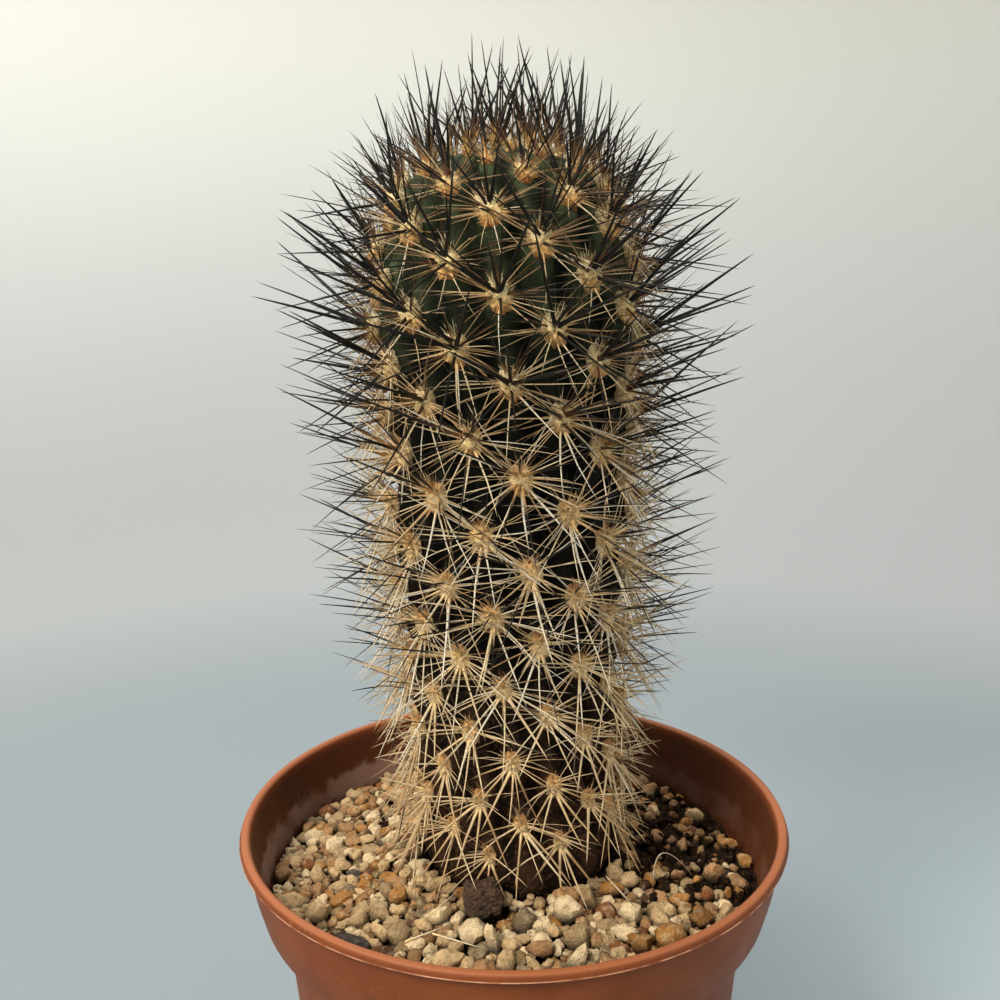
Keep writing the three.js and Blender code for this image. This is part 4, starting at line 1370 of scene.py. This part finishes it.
class BedSettings(bpy.types.PropertyGroup):
    """How the potting mix, the gravel and what lies on it are made"""
    upper_count: IntProperty(name="Larger stones", description="Stones that lie on the bed", default=1000)
    lower_count: IntProperty(name="Small stones", description="Stones sunk between them", default=1000)
    grit_count: IntProperty(name="Grit", description="Grains scattered over the bed", default=900)
    clod_count: IntProperty(name="Soil crumbs", description="Loose crumbs of potting mix", default=260)
    shed_spines: IntProperty(name="Shed spines", description="Old spines that lie on the gravel", default=6)
    thinning: FloatProperty(
        name="Thinning", description="Share of stones missing where soil shows", default=0.76,
        subtype="FACTOR")
    soil_drop: FloatProperty(
        name="Soil drop", description="Depth of the soil under the bed's level", default=0.0006,
        unit="LENGTH")


class StemSettings(bpy.types.PropertyGroup):
    """Shape and colours of the stem"""
    columns_per_rib: IntProperty(name="Columns", description="Steps across a rib", default=12)
    rib_depth: FloatProperty(
        name="Rib depth", description="Depth of a furrow as a share of the radius", default=0.15,
        subtype="FACTOR")
    notch_depth: FloatProperty(
        name="Notch depth", description="Depth of the notch above an areole", default=0.0022, unit="LENGTH")
    young_skin: FloatVectorProperty(
        name="Young skin", description="Skin near the crown", default=srgb(50, 61, 38)[:3], subtype="COLOR")
    old_skin: FloatVectorProperty(
        name="Old skin", description="Skin halfway down", default=srgb(13, 14, 7)[:3], subtype="COLOR")
    tufts: IntProperty(name="Tufts", description="Wool tufts on an areole", default=68)


class StageSettings(bpy.types.PropertyGroup):
    """Floor, backdrop, lights and camera"""
    # The floor, backdrop-foot and backdrop colours together paint a gradient of light over the sheet
    floor_colour: FloatVectorProperty(
        name="Floor", description="Colour of the floor", default=srgb(135, 147, 155)[:3], subtype="COLOR")
    foot_gradient_colour: FloatVectorProperty(
        name="Backdrop foot", description="Colour where the backdrop starts to rise",
        default=srgb(160, 165, 168)[:3], subtype="COLOR")
    wall_colour: FloatVectorProperty(
        name="Backdrop", description="Colour of the backdrop's upper part", default=srgb(221, 222, 217)[:3],
        subtype="COLOR")
    key_power: FloatProperty(name="Key", description="Power of the key light", default=12.8, unit="POWER")
    fill_power: FloatProperty(name="Fill", description="Power of the fill light", default=3.1, unit="POWER")
    top_power: FloatProperty(name="Top", description="Power of the overhead light", default=5, unit="POWER")
    backdrop_power: FloatProperty(
        name="Backdrop light", description="Power of the light on the backdrop", default=3.1, unit="POWER")
    surround: FloatProperty(name="Surround", description="Strength of the even surround", default=0.38)
    viewpoint: FloatVectorProperty(
        name="Viewpoint", description="Place of the camera", default=(0, -0.19749, 0.19659),
        subtype="TRANSLATION", precision=5)
    pitch: FloatProperty(name="Pitch", description="Tilt down", default=0.2152, subtype="ANGLE")
    yaw: FloatProperty(name="Yaw", description="Turn to the right", default=-0.0092, subtype="ANGLE")
    roll: FloatProperty(name="Roll", description="Turn about the view", default=-0.0126, subtype="ANGLE")
    focal_length: FloatProperty(
        name="Focal length", description="Focal length in millimetres", default=39.494)


class CACTUS_OT_pot(bpy.types.Operator):
    """Make the plastic pot"""
    bl_idname = "cactus.pot"
    bl_label = "Pot"

    def execute(self, context):
        make_pot(context.scene.cactus_pot)
        return {"FINISHED"}


class CACTUS_OT_bed(bpy.types.Operator):
    """Make the potting mix, the gravel and the dark chunk"""
    bl_idname = "cactus.bed"
    bl_label = "Bed"

    def execute(self, context):
        settings = context.scene.cactus_bed
        mix = soil_finish()
        make_soil(settings, mix)
        make_gravel(settings)
        make_chunk()
        make_crumbs(settings, mix)
        return {"FINISHED"}


class CACTUS_OT_stem(bpy.types.Operator):
    """Make the ribbed stem and its woolly areoles"""
    bl_idname = "cactus.stem"
    bl_label = "Stem"

    def execute(self, context):
        settings = context.scene.cactus_stem
        make_stem(settings)
        areoles = Areoles()
        make_felt(areoles)
        make_tufts(areoles, settings)
        return {"FINISHED"}


class CACTUS_OT_spines(bpy.types.Operator):
    """Make every kind of spine, the shed spines and the rootlet"""
    bl_idname = "cactus.spines"
    bl_label = "Spines"

    def execute(self, context):
        spine_finish()
        areoles = Areoles()
        for kind in SPINE_KINDS:
            add_spines(kind, areoles)
        make_shed_spines(context.scene.cactus_bed)
        make_rootlet()
        return {"FINISHED"}


class CACTUS_OT_stage(bpy.types.Operator):
    """Make the floor, the lights and the camera"""
    bl_idname = "cactus.stage"
    bl_label = "Stage"

    def execute(self, context):
        settings = context.scene.cactus_stage
        make_camera(settings)
        make_floor(settings)
        make_light(settings)
        return {"FINISHED"}


OPERATORS = (CACTUS_OT_stage, CACTUS_OT_pot, CACTUS_OT_bed, CACTUS_OT_stem, CACTUS_OT_spines)
SETTINGS = (
    ("cactus_pot", PotSettings), ("cactus_bed", BedSettings), ("cactus_stem", StemSettings),
    ("cactus_stage", StageSettings),
)


class CACTUS_PT_panel(bpy.types.Panel):
    """Lists the pieces of the plant and the sizes and colours that they are made with"""
    bl_idname = "CACTUS_PT_panel"
    bl_label = "Potted column cactus"
    bl_space_type = "VIEW_3D"
    bl_region_type = "UI"
    bl_category = "Cactus"

    def draw(self, context):
        for operator in OPERATORS:
            self.layout.operator(operator.bl_idname)
        for name, _ in SETTINGS:
            box = self.layout.box()
            settings = getattr(context.scene, name)
            for label in settings.bl_rna.properties.keys():
                if label not in {"rna_type", "name"}:
                    box.prop(settings, label)


def register():
    """Registers the classes, and hangs each group of settings on the scene."""
    for name, group in SETTINGS:
        bpy.utils.register_class(group)
        setattr(bpy.types.Scene, name, PointerProperty(type=group))
    for item in (*OPERATORS, CACTUS_PT_panel):
        bpy.utils.register_class(item)


def unregister():
    """Takes the classes and the settings out again."""
    for item in (CACTUS_PT_panel, *reversed(OPERATORS)):
        bpy.utils.unregister_class(item)
    for name, group in reversed(SETTINGS):
        delattr(bpy.types.Scene, name)
        bpy.utils.unregister_class(group)


def main():
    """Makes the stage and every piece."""
    register()
    bpy.ops.cactus.stage()
    bpy.ops.cactus.pot()
    bpy.ops.cactus.bed()
    bpy.ops.cactus.stem()
    bpy.ops.cactus.spines()


if __name__ == "__main__":
    main()
